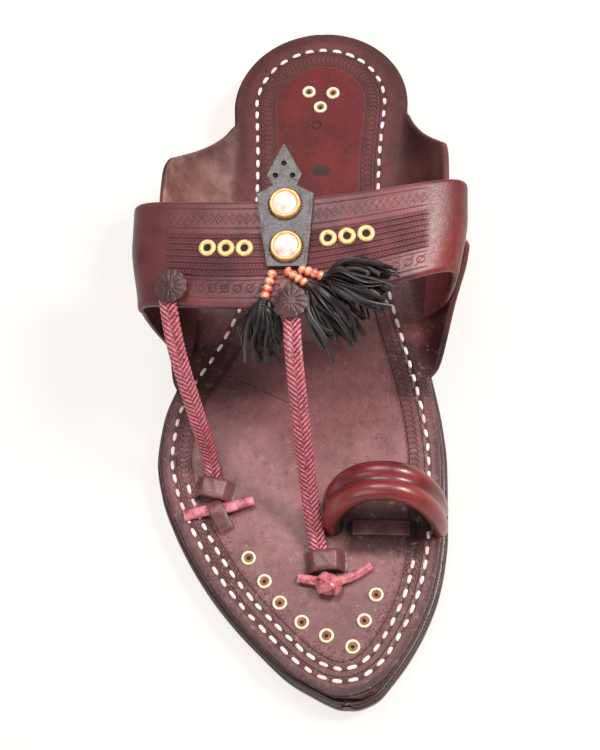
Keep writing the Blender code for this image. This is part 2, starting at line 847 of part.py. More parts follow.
def keeper(name, x, from_tip, turn):
    """A raised strip of leather whose feet stand on the insole on both sides of a braid."""
    centre = on_insole(x, from_tip, 0.0)
    turned = math.radians(turn)
    upper_grid = []
    lower_grid = []
    for along in (-KEEPER_WIDTH / 2, -KEEPER_WIDTH / 6, KEEPER_WIDTH / 6, KEEPER_WIDTH / 2):
        top_row = []
        low_row = []
        for share in np.linspace(-1, 1, 13):
            across = share * KEEPER_SPAN / 2
            px = centre.x + across * math.cos(turned) - along * math.sin(turned)
            py = centre.y + across * math.sin(turned) + along * math.cos(turned)
            slope = (1 - KEEPER_FOOT - abs(share)) / (1 - KEEPER_FOOT - KEEPER_FLAT)
            rise = KEEPER_RISE * smoothstep(slope)
            base = insole_top(py) + GAP
            low_row.append((px, py, base + rise))
            top_row.append((px, py, base + rise + KEEPER_T))
        upper_grid.append(top_row)
        lower_grid.append(low_row)
    return shell(name, upper_grid, lower_grid, OXBLOOD)


def thong(name, points, width, thickness, look, spacing=3.0):
    """A flat strip with rounded edges along a smooth route."""
    path = curve_through(points, spacing)
    rings = []
    for centre, (_, side, up) in zip(path, frames_along(path)):
        ring = []
        for across, height in ((-1, 0), (-0.7, 1), (0.7, 1), (1, 0), (0.7, -1), (-0.7, -1)):
            ring.append(centre + side * across * width / 2 + up * height * thickness / 2)
        rings.append(ring)
    return loft(name, rings, look)


def turned(name, centre, axis, profile, look, segments):
    """A ring or button: a closed profile of radii and heights turned about an axis."""
    axis = Vector(axis).normalized()
    first = axis.orthogonal().normalized()
    second = axis.cross(first)
    points = []
    faces = []
    closed = profile[0][0] > 0
    rows = len(profile)
    for k in range(segments):
        bend = 2 * math.pi * k / segments
        spoke = first * math.cos(bend) + second * math.sin(bend)
        points += [centre + spoke * radius + axis * height for radius, height in profile if radius > 0]
    ring_size = len(points) // segments
    for k in range(segments):
        here = k * ring_size
        there = (k + 1) % segments * ring_size
        for i in range(ring_size if closed else ring_size - 1):
            j = (i + 1) % ring_size
            faces.append((here + i, here + j, there + j, there + i))
    if not closed:
        for radius, height in (profile[0], profile[-1]):
            points.append(centre + axis * height)
        low = len(points) - 2
        high = len(points) - 1
        for k in range(segments):
            here = k * ring_size
            there = (k + 1) % segments * ring_size
            faces.append((here, there, low))
            faces.append((there + ring_size - 1, here + ring_size - 1, high))
    return add_object(name, points, faces, look)


keeper("centre_keeper", CENTRE_KEEPER_X, CENTRE_KEEPER, CENTRE_KEEPER_TURN)
keeper("lateral_keeper", LATERAL_KEEPER_X, LATERAL_KEEPER, LATERAL_KEEPER_TURN)


def centre_knot():
    """A round knot with its two ends lying on the insole."""
    place = on_insole(KNOT_X, CENTRE_KEEPER - KNOT_AHEAD, GAP + KNOT_R * KNOT_FLATNESS)
    levels = 7
    profile = []
    for i in range(levels):
        bend = -math.pi / 2 + math.pi * i / (levels - 1)
        profile.append((KNOT_R * max(0.0, math.cos(bend)), KNOT_R * KNOT_FLATNESS * math.sin(bend)))
    profile[0] = (0.0, profile[0][1])
    profile[-1] = (0.0, profile[-1][1])
    knot = turned("centre_knot", place, (0.15, -0.1, 1.0), profile, CRIMSON, 12)
    lift = GAP + THONG_T / 2 + 0.1
    for label, rows in (("lateral_tail", LATERAL_TAIL), ("medial_tail", MEDIAL_TAIL)):
        route = [on_insole(KNOT_X + x, CENTRE_KEEPER - KNOT_AHEAD + ahead, lift + rise) for x, ahead, rise in rows]
        combine(knot, thong(label, route, THONG_WIDTH, THONG_T, CRIMSON), "UNION")
    return knot


def lateral_toggle():
    """A crimson thong laid across, under the folded end of the braid."""
    base = GAP + THONG_T / 2
    route = [on_insole(x, from_tip, base + rise) for x, from_tip, rise in TOGGLE_ROUTE]
    bar = thong("lateral_toggle", route, THONG_WIDTH, THONG_T, CRIMSON)
    fold = [on_insole(x, from_tip, base + rise) for x, from_tip, rise in FOLD_ROUTE]
    folded = thong("folded_end", fold, FOLD_WIDTH, THONG_T, CRIMSON, FOLD_WIDTH / 3)
    combine(bar, folded, "UNION")
    return bar


centre_knot()
lateral_toggle()


# Toe ring

def toe_ring():
    """Two rolls side by side, bent into one arch whose feet stand on the insole."""
    foot_y = from_toe(RING_FROM_TOE)
    floor = insole_top(foot_y) + GAP
    rings = []
    bends = np.linspace(0, math.pi, 17)
    path = []
    for bend in bends:
        across = abs(math.cos(bend)) ** (2 / RING_SQUARENESS)
        share = max(0.0, math.sin(bend)) ** (2 / RING_SQUARENESS)
        path.append(Vector((
            RING_X + math.copysign(RING_HALF_SPAN * across, math.cos(bend)),
            foot_y + RING_LEAN * share**2,
            floor + RING_HEIGHT * share,
        )))
    for i, centre in enumerate(path):
        tangent = (path[min(i + 1, 16)] - path[max(i - 1, 0)]).normalized()
        if i in (0, 16):
            tangent = Vector((0, 0, 1 if i == 0 else -1))
        width_way = (Vector((0, 1, 0)) - tangent * tangent.y).normalized()
        outward = width_way.cross(tangent)
        if outward.dot(centre - Vector((RING_X, centre.y, floor))) < 0:
            outward = -outward
        ring = []
        for side in (1, -1):
            turns = (-18, 22, 66, 114, 158, 198)
            for turn in turns if side > 0 else turns[::-1]:
                angle = math.radians(turn)
                across = side * (RING_ROLL_SPACING / 2 + RING_ROLL_R * math.sin(angle))
                ring.append(centre + width_way * across + outward * RING_ROLL_R * math.cos(angle))
        rings.append(ring)
    loft("toe_ring", rings, RING_RED)


def toe_ring_strip():
    """The small tongue of leather that lies in the slot between the ring's feet."""
    y = from_toe(RING_FROM_TOE) - STRIP_WIDTH / 2
    half = STRIP_HALF_SPAN
    z = insole_top(y) + GAP + STRIP_T / 2
    ends = [Vector((STRIP_X - half, y, z)), Vector((STRIP_X, y, z + 0.2)), Vector((STRIP_X + half, y, z))]
    thong("toe_ring_strip", ends, STRIP_WIDTH, STRIP_T, RING_RED, 5.0)


toe_ring()
toe_ring_strip()


# Ornament on the band

def plate_half_width(along):
    """Half the width of the spear-shaped plate at a share of its length from the tip."""
    return PLATE_WIDTH / 2 * float(np.interp(along, [r[0] for r in PLATE_ROWS], [r[1] for r in PLATE_ROWS]))


def plate_point(across, along, lift):
    """A point above the band along the plate, whose tip stands out behind the rear edge."""
    tip_share = 1.0 + PLATE_OVERHANG / BAND_WIDTH
    share = tip_share - along * PLATE_LENGTH / BAND_WIDTH
    top = BAND_FLOOR + BAND_TOP + (share - 1.0) * BAND_TILT
    x = PLATE_X - PLATE_SLANT * (PLATE_PIVOT - along) * PLATE_LENGTH
    return Vector((x + across, band_y(PLATE_X, share), top + GAP + lift))


def plate():
    """The spear-shaped plate of stiff leather."""
    upper_grid = []
    lower_grid = []
    for along in [row[0] for row in PLATE_ROWS]:
        half = plate_half_width(along)
        upper_grid.append([plate_point(side * half, along, PLATE_T) for side in (-1, 0, 1)])
        lower_grid.append([plate_point(side * half, along, 0.0) for side in (-1, 0, 1)])
    shell("plate", upper_grid, lower_grid, SLATE)


def stud(name, along):
    """A gold rim round a domed pearl stone, standing on the plate."""
    centre = plate_point(0.0, along, PLATE_T + GAP)
    axis = (0, -BAND_TILT / BAND_WIDTH, 1)
    inner = STUD_R - STUD_RIM
    rim = ((inner, 0), (STUD_R, 0), (STUD_R - 0.3, STUD_T * 0.6), (STUD_R - 0.8, STUD_T), (inner, STUD_T * 0.8))
    turned(name + "_rim", centre, axis, rim, GOLD, 16)
    radius = inner - GAP
    dome = ((0, 0), (radius, 0), (radius, STUD_T * 0.7), (radius * 0.75, STUD_T), (0, STUD_T * 1.2))
    turned(name + "_stone", centre, axis, dome, PEARL, 16)


def eyelet(name, centre, axis, radius):
    """A rolled metal ring round a hole."""
    hole = radius * EYELET_HOLE
    profile = ((hole, 0), (radius, 0), (radius * 0.82, EYELET_T), (hole * 1.25, EYELET_T))
    turned(name, centre, axis, profile, GOLD, 10)


plate()
for label, along in STUD_PLACES:
    stud(label, along)

for number, (x, share) in enumerate(BAND_EYELETS, 1):
    place, normal = band_surface(x, share, GAP)
    eyelet("band_eyelet_%d" % number, place, normal, BAND_EYELET_R)

for number, (along, across) in enumerate(TOE_EYELETS, 1):
    y = from_toe(along * TOE_TO_HEEL_CENTRE)
    x0, x1 = insole_at(y)
    place = Vector((x0 + across * (x1 - x0), y, insole_top(y) + GAP))
    slope = (insole_top(y + 1) - insole_top(y - 1)) / 2
    eyelet("toe_eyelet_%d" % number, place, (0, -slope, 1), EYELET_R)

for number, (x, y) in enumerate(HEEL_EYELETS, 1):
    place = Vector((x * HEEL_RADIUS, y * HEEL_RADIUS, insole_top(0.0) + GAP))
    eyelet("heel_eyelet_%d" % number, place, (0, 0, 1), EYELET_R)


def rosette(name, x, share, radius):
    """A scalloped patch over the upper end of a braid, bent down with it."""
    centre, normal = band_surface(x, share, ROSETTE_LIFT)
    right = (Vector((1, 0, 0)) - normal * normal.x).normalized()
    back = normal.cross(right)
    count = ROSETTE_SCALLOPS * 2
    rows = ((0.5, 0.25), (0.88, 0.0), (1.0, -0.35))

    def place(reach, k, height):
        bend = 2 * math.pi * k / count
        wave = 1.0 + (0.05 if k % 2 else -0.03)
        a = reach * wave * math.cos(bend)
        b = reach * wave * math.sin(bend)
        drop = ROSETTE_SAG * a * a + (ROSETTE_BEND * b * b if b < 0 else 0.0)
        return centre + right * a + back * b + normal * (height - drop)

    points = []
    for reach, height in rows:
        points += [place(radius * reach, k, ROSETTE_T + height) for k in range(count)]
    for reach in (1.0, 0.5):
        points += [place(radius * reach, k, 0.0) for k in range(count)]
    faces = []
    for ring in range(4):
        for k in range(count):
            near = ring * count
            far = near + count
            nxt = (k + 1) % count
            faces.append((near + k, near + nxt, far + nxt, far + k))
    points += [place(0.0, 0, ROSETTE_T + 0.3), place(0.0, 0, 0.0)]
    for k in range(count):
        faces.append((k, (k + 1) % count, len(points) - 2))
        faces.append((4 * count + k, 4 * count + (k + 1) % count, len(points) - 1))
    add_object(name, points, faces, OXBLOOD)


rosette("centre_rosette", CENTRE_BRAID_X, CENTRE_ROSETTE_SHARE, CENTRE_ROSETTE_R)
rosette("lateral_rosette", LATERAL_ROSETTE_X, LATERAL_ROSETTE_SHARE, LATERAL_ROSETTE_R)


# Beads and tassels

def bead_string(name, start, end):
    """A short string of touching beads lying on the band."""
    a, normal_a = band_surface(*start, lift=GAP + BEAD_R)
    b, normal_b = band_surface(*end, lift=GAP + BEAD_R)
    way = (b - a).normalized()
    up = (normal_a + normal_b).normalized()
    side = way.cross(up).normalized()
    up = side.cross(way)
    length = (b - a).length
    count = max(2, round(length / (BEAD_R * 1.55)))
    rings = []
    for i in range(count):
        for share, size in ((0.0, 0.45), (0.3, 1.0), (0.7, 1.0)):
            rings.append((a + way * length * (i + share) / count, BEAD_R * size))
    rings.append((b, BEAD_R * 0.45))
    made = []
    for centre, radius in rings:
        made.append([
            centre + (side * math.cos(math.pi / 4 * k) + up * math.sin(math.pi / 4 * k)) * radius
            for k in range(8)
        ])
    loft(name, made, COPPER)
    return b + way * GAP


def tassel(name, route, spread, droop):
    """A tied head and a skirt of strips, parted by grooves that deepen towards their ends."""
    path = curve_through(route, 3.0)
    frames = frames_along(path)
    last = len(path) - 1
    around = TASSEL_STRIPS * 3
    rings = []
    for i, (centre, (tangent, side, up)) in enumerate(zip(path, frames)):
        share = i / last
        loose = max(0.0, share - TASSEL_HEAD) / (1 - TASSEL_HEAD)
        wide = TASSEL_HEAD_R + (spread - TASSEL_HEAD_R) * loose**0.8
        thick = TASSEL_HEAD_R + (droop / 2 - TASSEL_HEAD_R) * loose**0.8
        if i == 0:
            wide = thick = TASSEL_HEAD_R * 0.5
        groove = TASSEL_GROOVE * min(1.0, loose * 3)
        ring = []
        for k in range(around):
            bend = 2 * math.pi * k / around
            size = 1 - groove * (1 if k % 3 == 0 else 0)
            uneven = loose**2 * TASSEL_UNEVEN * math.sin(5 * bend + spread)
            ring.append(
                centre + side * (wide * size * math.cos(bend)) + up * (thick * size * math.sin(bend))
                + tangent * uneven
            )
        rings.append(ring)
    return loft(name, rings, BLACK)


for number, ((start, end), (spread, droop, shares)) in enumerate(zip(BEAD_STRINGS, TASSELS), 1):
    tie = bead_string("bead_string_%d" % number, start, end)
    route = [tie + Vector(share) * TASSEL_LENGTH for share in shares]
    tassel("tassel_%d" % number, route, spread, droop)
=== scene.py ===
import math

import bpy
import numpy as np
from mathutils import Matrix, Vector
from mathutils.geometry import delaunay_2d_cdt


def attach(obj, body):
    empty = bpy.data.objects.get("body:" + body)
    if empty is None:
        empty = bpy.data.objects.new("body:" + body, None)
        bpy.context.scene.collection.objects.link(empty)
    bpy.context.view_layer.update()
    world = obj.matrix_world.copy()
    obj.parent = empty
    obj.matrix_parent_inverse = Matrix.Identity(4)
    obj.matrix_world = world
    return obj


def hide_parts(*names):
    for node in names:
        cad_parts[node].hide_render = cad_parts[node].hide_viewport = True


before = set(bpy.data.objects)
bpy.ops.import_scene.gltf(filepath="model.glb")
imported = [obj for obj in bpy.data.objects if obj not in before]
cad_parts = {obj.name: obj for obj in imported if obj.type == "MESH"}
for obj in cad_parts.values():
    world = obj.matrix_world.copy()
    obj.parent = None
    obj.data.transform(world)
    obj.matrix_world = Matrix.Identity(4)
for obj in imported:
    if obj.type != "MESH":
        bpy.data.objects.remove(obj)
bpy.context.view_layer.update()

MM = 0.001
UP = Vector((0, 0, 1))

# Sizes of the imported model, in millimetres
HEEL_RADIUS = 35.5
TOE_TO_HEEL_CENTRE = 245.0
BALL_HALF_WIDTH = 56.0
HEEL_HEIGHT = 9.0
HEEL_BREAST = 40.0
OUTSOLE_T = 4.5
MIDSOLE_T = 3.0
INSOLE_T = 3.2
EDGE_ROUND = 0.8
TOE_SPRING = 4.0
SPRING_LENGTH = 60.0
ARCH_FOOT = 120.0
ARCH_BEHIND_BREAST = 2.0
RIM_AT_TOE = 2.8
RIM_AT_HEEL = 0.8
GAP = 0.3
EAR_T = 2.6
EAR_RISE = 28.0
EAR_HALF_SPAN = 60.0
EAR_LENGTH = 114.0
EAR_FRONT = 122.0
EAR_SKEW = 5.0
EAR_WEAVE_LATERAL = 6.0
EAR_WEAVE_MEDIAL = 8.0
SPAN_CENTRE = -1.2
FRONT_PINCH = 3.5
BAND_WIDTH = 40.0
BAND_HALF_SPAN = 61.5
BAND_T = 3.0
BAND_END_T = 2.2
BAND_TOP = 66.0
BAND_SHOULDER = 50.0
BAND_TILT = 5.0
BAND_SWEEP = 9.0
BAND_SKEW = 5.0
BAND_MIDLINE = 148.0
BAND_NARROWS = 6.2
BAND_END_NARROWS = 1.6
BAND_NARROWS_FROM = 0.2
BAND_SQUARENESS = 2.6
SLOT_FROM = 0.62
SLOT_TO = 0.74
BRAID_WIDTH = 6.0
BRAID_PITCH = 3.2
STRAND_PITCH = 1.95
BRAID_SEAT = 0.9
BRAID_START = 0.12
CENTRE_BRAID_X = -1.0
LATERAL_BRAID_X = -45.0
KEEPER_WIDTH = 8.0
KEEPER_SPAN = 16.0
KEEPER_RISE = 3.9
KEEPER_T = 1.5
KEEPER_FOOT = 0.12
KEEPER_FLAT = 0.5
CENTRE_KEEPER = 53.0
CENTRE_KEEPER_X = 8.4
CENTRE_KEEPER_TURN = 6.0
LATERAL_KEEPER = 80.5
LATERAL_KEEPER_X = -34.5
LATERAL_KEEPER_TURN = -12.0
KNOT_R = 4.4
KNOT_X = 10.2
KNOT_AHEAD = 9.0
KNOT_FLATNESS = 0.72
THONG_WIDTH = 4.2
THONG_T = 1.8
FOLD_WIDTH = 6.1
RING_HALF_SPAN = 19.4
RING_HEIGHT = 27.0
RING_SQUARENESS = 2.3
RING_ROLL_R = 3.9
RING_ROLL_SPACING = 6.8
RING_LEAN = 5.5
RING_X = 30.0
RING_FROM_TOE = 70.5
STRIP_WIDTH = 8.0
STRIP_HALF_SPAN = 11.4
STRIP_X = 28.6
STRIP_T = 1.4
EYELET_R = 2.8
BAND_EYELET_R = 3.2
STUD_R = 5.8
STUD_RIM = 1.4
STUD_T = 2.0
PLATE_LENGTH = 46.5
PLATE_WIDTH = 20.5
PLATE_T = 1.6
PLATE_X = -3.8
PLATE_SLANT = 0.055
PLATE_PIVOT = 0.7
PLATE_OVERHANG = 20.0
CENTRE_ROSETTE_R = 5.7
CENTRE_ROSETTE_SHARE = 0.0
LATERAL_ROSETTE_R = 5.9
LATERAL_ROSETTE_SHARE = 0.15
LATERAL_ROSETTE_X = -43.5
ROSETTE_T = 1.4
ROSETTE_LIFT = 3.2
ROSETTE_SCALLOPS = 12
ROSETTE_SAG = 0.03
ROSETTE_BEND = 0.022
BEAD_R = 1.45

# Share of the length from the toe tip, then the reach to the lateral and medial side
OUTLINE_ROWS = (
    (0.000, -0.285, 0.355),
    (0.004, -0.215, 0.430),
    (0.016, -0.105, 0.520),
    (0.037, 0.060, 0.594),
    (0.077, 0.262, 0.712),
    (0.122, 0.460, 0.812),
    (0.175, 0.652, 0.893),
    (0.224, 0.795, 0.932),
    (0.268, 0.900, 0.948),
    (0.325, 1.004, 0.946),
    (0.386, 1.055, 0.940),
    (0.447, 1.035, 0.908),
    (0.512, 0.945, 0.850),
    (0.589, 0.760, 0.765),
    (0.671, 0.632, 0.680),
    (0.772, 0.588, 0.607),
    (0.874, 0.598, 0.602),
    (1.000, 0.634, 0.634),
)

# Share of the flap's length, its rise and its reach
EAR_ROWS = (
    (0.00, 0.00, 0.00),
    (0.03, 0.03, 0.30),
    (0.09, 0.14, 0.54),
    (0.20, 0.52, 0.84),
    (0.31, 0.84, 0.98),
    (0.42, 0.97, 1.00),
    (0.55, 1.00, 1.00),
    (0.66, 0.98, 0.99),
    (0.73, 0.86, 0.95),
    (0.78, 0.63, 0.80),
    (0.83, 0.41, 0.58),
    (0.89, 0.20, 0.33),
    (0.95, 0.06, 0.12),
    (1.00, 0.00, 0.00),
)

# Share of the plate's length from its tip, share of half its width
PLATE_ROWS = (
    (0.00, 0.03),
    (0.25, 0.61),
    (0.34, 0.42),
    (0.41, 1.00),
    (0.70, 0.86),
    (1.00, 0.68),
)

STUD_PLACES = (("rear_stud", 0.497), ("front_stud", 0.845))
BAND_EYELETS = (
    (-32.0, 0.55),
    (-25.3, 0.55),
    (-18.6, 0.55),
    (11.0, 0.58),
    (17.7, 0.57),
    (24.4, 0.56),
)
TOE_EYELETS = (
    (0.222, 0.228),
    (0.186, 0.254),
    (0.153, 0.281),
    (0.124, 0.353),
    (0.104, 0.472),
    (0.088, 0.636),
    (0.128, 0.702),
    (0.168, 0.753),
)
HEEL_EYELETS = ((-0.14, 0.17), (0.14, 0.15), (0.0, -0.04))
BEAD_STRINGS = (
    ((-7.9, 0.288), (-10.6, 0.060)),
    ((-3.6, 0.288), (4.0, 0.160)),
    ((1.2, 0.290), (10.0, 0.205)),
)
LATERAL_TAIL = ((0.0, 0.6, 1.6), (-11.5, 2.6, 0.25))
MEDIAL_TAIL = ((0.0, 0.6, 1.6), (8.0, 3.4, 0.25), (15.0, 8.0, 0.25))
TOGGLE_ROUTE = ((-45.5, 70.0, 0.1), (-38.0, 72.0, 0.5), (-28.0, 73.3, 1.9), (-19.5, 76.5, 1.3))
FOLD_ROUTE = ((-34.5, 75.0, 1.4), (-33.0, 72.0, 2.6), (-30.6, 67.5, 1.3), (-29.0, 65.0, 0.2))
CENTRE_BRAID_BENDS = ((-0.3, 113.0, 69.0), (1.4, 92.0, 48.0), (3.0, 74.0, 26.0))
LATERAL_BRAID_BENDS = ((-43.3, 116.0, 59.0), (-38.6, 100.0, 37.0))
CENTRE_BRAID_LANDING = ((4.9, 62.0, 4.0), (7.0, 51.0, 1.5))
LATERAL_BRAID_LANDING = ((-36.3, 92.0, 8.0), (-35.5, 86.0, 2.9), (-34.7, 78.0, 1.5))
TAB_PATH = ((0.40, -1), (0.48, -1), (0.56, -0.4), (0.64, 0.45), (0.72, 1), (0.82, 1), (0.91, 1), (1.0, 1))


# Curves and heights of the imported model

def smooth_table(rows, column, places):
    """Reads a table's column at the given places, with a smooth curve between its rows."""
    xs = np.array([row[0] for row in rows])
    ys = np.array([row[column] for row in rows])
    slopes = np.diff(ys) / np.diff(xs)
    tangents = np.zeros(len(xs))
    for i in range(1, len(xs) - 1):
        if slopes[i - 1] * slopes[i] > 0:
            tangents[i] = 2 * slopes[i - 1] * slopes[i] / (slopes[i - 1] + slopes[i])
    tangents[0] = slopes[0]
    tangents[-1] = slopes[-1]
    places = np.clip(places, xs[0], xs[-1])
    i = np.clip(np.searchsorted(xs, places, side="right") - 1, 0, len(xs) - 2)
    step = xs[i + 1] - xs[i]
    t = (places - xs[i]) / step
    return (
        (1 + 2 * t) * (1 - t) ** 2 * ys[i]
        + t * (1 - t) ** 2 * step * tangents[i]
        + t * t * (3 - 2 * t) * ys[i + 1]
        + t * t * (t - 1) * step * tangents[i + 1]
    )


def smoothstep(value):
    """Rises smoothly from 0 to 1, for a number or an array."""
    value = np.clip(value, 0.0, 1.0)
    return value * value * (3 - 2 * value)


def from_toe(distance):
    return distance - TOE_TO_HEEL_CENTRE


OUTLINE_POINTS = 420
ROOT_ROWS = [(math.sqrt(row[0]), row[1], row[2]) for row in OUTLINE_ROWS]


def side_curve(side):
    """Points of one side of the sole, from the toe tip to the back of the heel."""
    roots = np.linspace(0, 1, OUTLINE_POINTS)
    x = side * BALL_HALF_WIDTH * smooth_table(ROOT_ROWS, 2 if side > 0 else 1, roots)
    y = from_toe(TOE_TO_HEEL_CENTRE * roots**2)
    heel_half = abs(x[-1])
    angles = np.linspace(0, math.pi / 2, OUTLINE_POINTS // 4)[1:]
    x = np.concatenate([x, side * heel_half * np.cos(angles)])
    y = np.concatenate([y, HEEL_RADIUS * np.sin(angles)])
    return x, y


def inset_curve(side, toe_inset, heel_inset):
    """The side's curve moved inwards, by one amount at the toe and another at the heel."""
    x, y = side_curve(side)
    dx = np.gradient(x)
    dy = np.gradient(y)
    length = np.hypot(dx, dy)
    share = (y - from_toe(0)) / TOE_TO_HEEL_CENTRE
    inset = toe_inset + (heel_inset - toe_inset) * smoothstep((share - 0.45) / 0.3)
    return x - side * inset * dy / length, y + side * inset * dx / length


def edges(toe_inset, heel_inset):
    """A function giving the lateral and medial edge at a Y, with the first and last Y."""
    lateral = inset_curve(-1, toe_inset, heel_inset)
    medial = inset_curve(1, toe_inset, heel_inset)

    def at(y):
        x0 = np.interp(y, lateral[1], lateral[0])
        x1 = np.interp(y, medial[1], medial[0])
        return float(x0), float(x1)

    probe = np.linspace(max(lateral[1][0], medial[1][0]), HEEL_RADIUS, 1200)
    wide = [y for y in probe if at(y)[1] - at(y)[0] > 4.0]
    return at, wide[0], wide[-1]


def sole_bottom(y):
    """Lowest side of the outsole, for a number or an array."""
    y = np.asarray(y, float)
    arch_top = -HEEL_BREAST - ARCH_BEHIND_BREAST
    arch_foot = from_toe(ARCH_FOOT)
    arch = (HEEL_HEIGHT + GAP) * smoothstep((y - arch_foot) / (arch_top - arch_foot))
    spring_from = from_toe(SPRING_LENGTH)
    spring = np.maximum(0.0, (spring_from - y) / (spring_from - from_toe(0)))
    return arch + TOE_SPRING * spring**2


def insole_top(y):
    return sole_bottom(y) + OUTSOLE_T + MIDSOLE_T + INSOLE_T + 2 * GAP


def on_insole(x, from_tip, lift):
    """A point above the insole, given by its distance from the toe tip."""
    y = from_toe(from_tip)
    return Vector((x, y, float(insole_top(y)) + lift))


insole_at, insole_first, insole_last = edges(RIM_AT_TOE, RIM_AT_HEEL)


def band_y(x, share):
    """Y of the band at a share of its width from the front edge; it narrows at its sides."""
    s = max(-1.0, min(1.0, x / BAND_HALF_SPAN))
    medial = (s + math.hypot(s, BAND_NARROWS_FROM)) / 2
    narrow = BAND_NARROWS * medial + BAND_END_NARROWS * s * s
    middle = from_toe(BAND_MIDLINE) + BAND_SKEW * s + BAND_SWEEP * s * s
    return middle + (share - 0.5) * BAND_WIDTH + (1 - share) * narrow


def front_pinch(side, y):
    """How much nearer the middle the flap and the band are towards the band's front edge."""
    behind = band_y(side * BAND_HALF_SPAN, SLOT_FROM)
    return FRONT_PINCH * smoothstep((behind - y) / (SLOT_FROM * BAND_WIDTH))


def ear_rim(side, y):
    """Rise above the insole and X of a flap's rim at this Y."""
    shift = EAR_SKEW if side > 0 else 0.0
    along = (y - from_toe(EAR_FRONT + shift)) / EAR_LENGTH
    edge = insole_at(y)[1 if side > 0 else 0]
    if along <= 0 or along >= 1:
        return 0.0, edge
    rise = EAR_RISE * float(smooth_table(EAR_ROWS, 1, along))
    reach = float(smooth_table(EAR_ROWS, 2, along))
    cross_from = band_y(side * BAND_HALF_SPAN, SLOT_FROM) - 2.0
    cross_to = band_y(side * BAND_HALF_SPAN, SLOT_TO) + 2.0
    depth = EAR_WEAVE_MEDIAL if side > 0 else EAR_WEAVE_LATERAL
    weave = depth * smoothstep((y - cross_from) / (cross_to - cross_from))
    full = SPAN_CENTRE + side * (EAR_HALF_SPAN - weave - front_pinch(side, y))
    return rise, edge + reach * (full - edge)


def ear_point(side, y, t, off, beyond=0.0):
    """A point of the flap's section: t runs from its foot to its rim, off is outwards."""
    rise, rim_x = ear_rim(side, y)
    edge = insole_at(y)[1 if side > 0 else 0] - side * EDGE_ROUND * 2
    top = float(insole_top(y))
    bend_x = edge + 0.62 * (rim_x - edge)
    x = (1 - t) ** 2 * edge + 2 * t * (1 - t) * bend_x + t * t * rim_x
    z = top + t * t * rise
    dx = 2 * (1 - t) * (bend_x - edge) + 2 * t * (rim_x - bend_x)
    dz = 2 * t * rise
    size = math.hypot(dx, dz)
    x += off * dz / size * side * (1 if dx * side > 0 else -1) + beyond * dx / size
    return x, z - off * abs(dx) / size + beyond * dz / size


BAND_FLOOR = float(insole_top(from_toe(BAND_MIDLINE)))
END_CLEAR = GAP + 0.1 + BAND_END_T / 2
CENTRE_SPAN = BAND_HALF_SPAN - BAND_T / 2
FINE_TAB = [(t, float(np.interp(t, *zip(*TAB_PATH)))) for t in np.linspace(0.40, 1.0, 25)]
FINE_RISES = np.linspace(0, 1, 14)[1:-1]
FINE_ANGLES = np.linspace(0, 87, 74)


def tab_offset(place, tab):
    """Distance of the band's middle from the flap's inner face, inside it or outside it."""
    inside = -END_CLEAR
    outside = EAR_T + END_CLEAR
    wanted = inside + (outside - inside) * (place + 1) / 2
    return inside + (wanted - inside) * tab


def band_profile(share):
    """Middle line of the band at a share of its width, as (x, y, z, thickness) rows."""
    tab = smoothstep((share - SLOT_FROM) / (SLOT_TO - SLOT_FROM))
    top = BAND_FLOOR + BAND_TOP + (share - 1.0) * BAND_TILT - BAND_T / 2
    shoulder = BAND_FLOOR + BAND_SHOULDER + (share - 1.0) * BAND_TILT
    halves = []
    for side in (-1, 1):
        end_y = band_y(side * BAND_HALF_SPAN, share)
        span = side * (CENTRE_SPAN - front_pinch(side, end_y)) + SPAN_CENTRE
        rows = []
        for t, place in FINE_TAB:
            x, z = ear_point(side, end_y, t, tab_offset(place, tab))
            rows.append((x, end_y, z, BAND_END_T))
        rim_x, _, rim_z, _ = rows[-1]
        for rise in FINE_RISES:
            x = rim_x + (span - rim_x) * math.sin(rise * math.pi / 2)
            z = rim_z + (shoulder - rim_z) * rise
            rows.append((x, end_y, z, BAND_END_T + (BAND_T - BAND_END_T) * rise))
        for angle in FINE_ANGLES:
            bend = math.radians(angle)
            x = span * math.cos(bend) ** (2 / BAND_SQUARENESS)
            z = shoulder + (top - shoulder) * math.sin(bend) ** (2 / BAND_SQUARENESS)
            rows.append((x, band_y(x, share), z, BAND_T))
        halves.append(rows)
    middle = [(0.0, band_y(0.0, share), top, BAND_T)]
    return halves[0] + middle + halves[1][::-1]


def band_surface(x, share, lift=0.0):
    """A point on the band's outer face near its top, and the direction square to it."""
    skip = len(FINE_TAB) + len(FINE_RISES)
    profile = band_profile(share)[skip:-skip]
    xs = [row[0] for row in profile]
    zs = [row[2] for row in profile]
    step = 2.0
    z = np.interp(x, xs, zs)
    across = Vector((2 * step, 0, np.interp(x + step, xs, zs) - np.interp(x - step, xs, zs)))
    along = Vector((0, BAND_WIDTH, BAND_TILT))
    normal = across.cross(along).normalized()
    return Vector((x, band_y(x, share), z)) + normal * (BAND_T / 2 + lift), normal


def curve_through(points, spacing):
    """Points at an even spacing along a smooth curve through the given points."""
    knots = [Vector(p) for p in points]
    ends = [2 * knots[0] - knots[1]] + knots + [2 * knots[-1] - knots[-2]]
    dense = []
    for i in range(1, len(ends) - 2):
        a, b, c, d = ends[i - 1], ends[i], ends[i + 1], ends[i + 2]
        for k in range(24):
            t = k / 24
            dense.append(
                0.5 * (2 * b + (c - a) * t + (2 * a - 5 * b + 4 * c - d) * t**2
                       + (3 * b - a - 3 * c + d) * t**3)
            )
    dense.append(knots[-1])
    lengths = [0.0]
    for i in range(1, len(dense)):
        lengths.append(lengths[-1] + (dense[i] - dense[i - 1]).length)
    count = max(2, round(lengths[-1] / spacing))
    wanted = np.linspace(0, lengths[-1], count + 1)
    return [
        Vector([np.interp(w, lengths, [p[axis] for p in dense]) for axis in range(3)])
        for w in wanted
    ]


def tangent_at(path, i):
    """The direction of a path at one of its points."""
    return (path[min(i + 1, len(path) - 1)] - path[max(i - 1, 0)]).normalized()


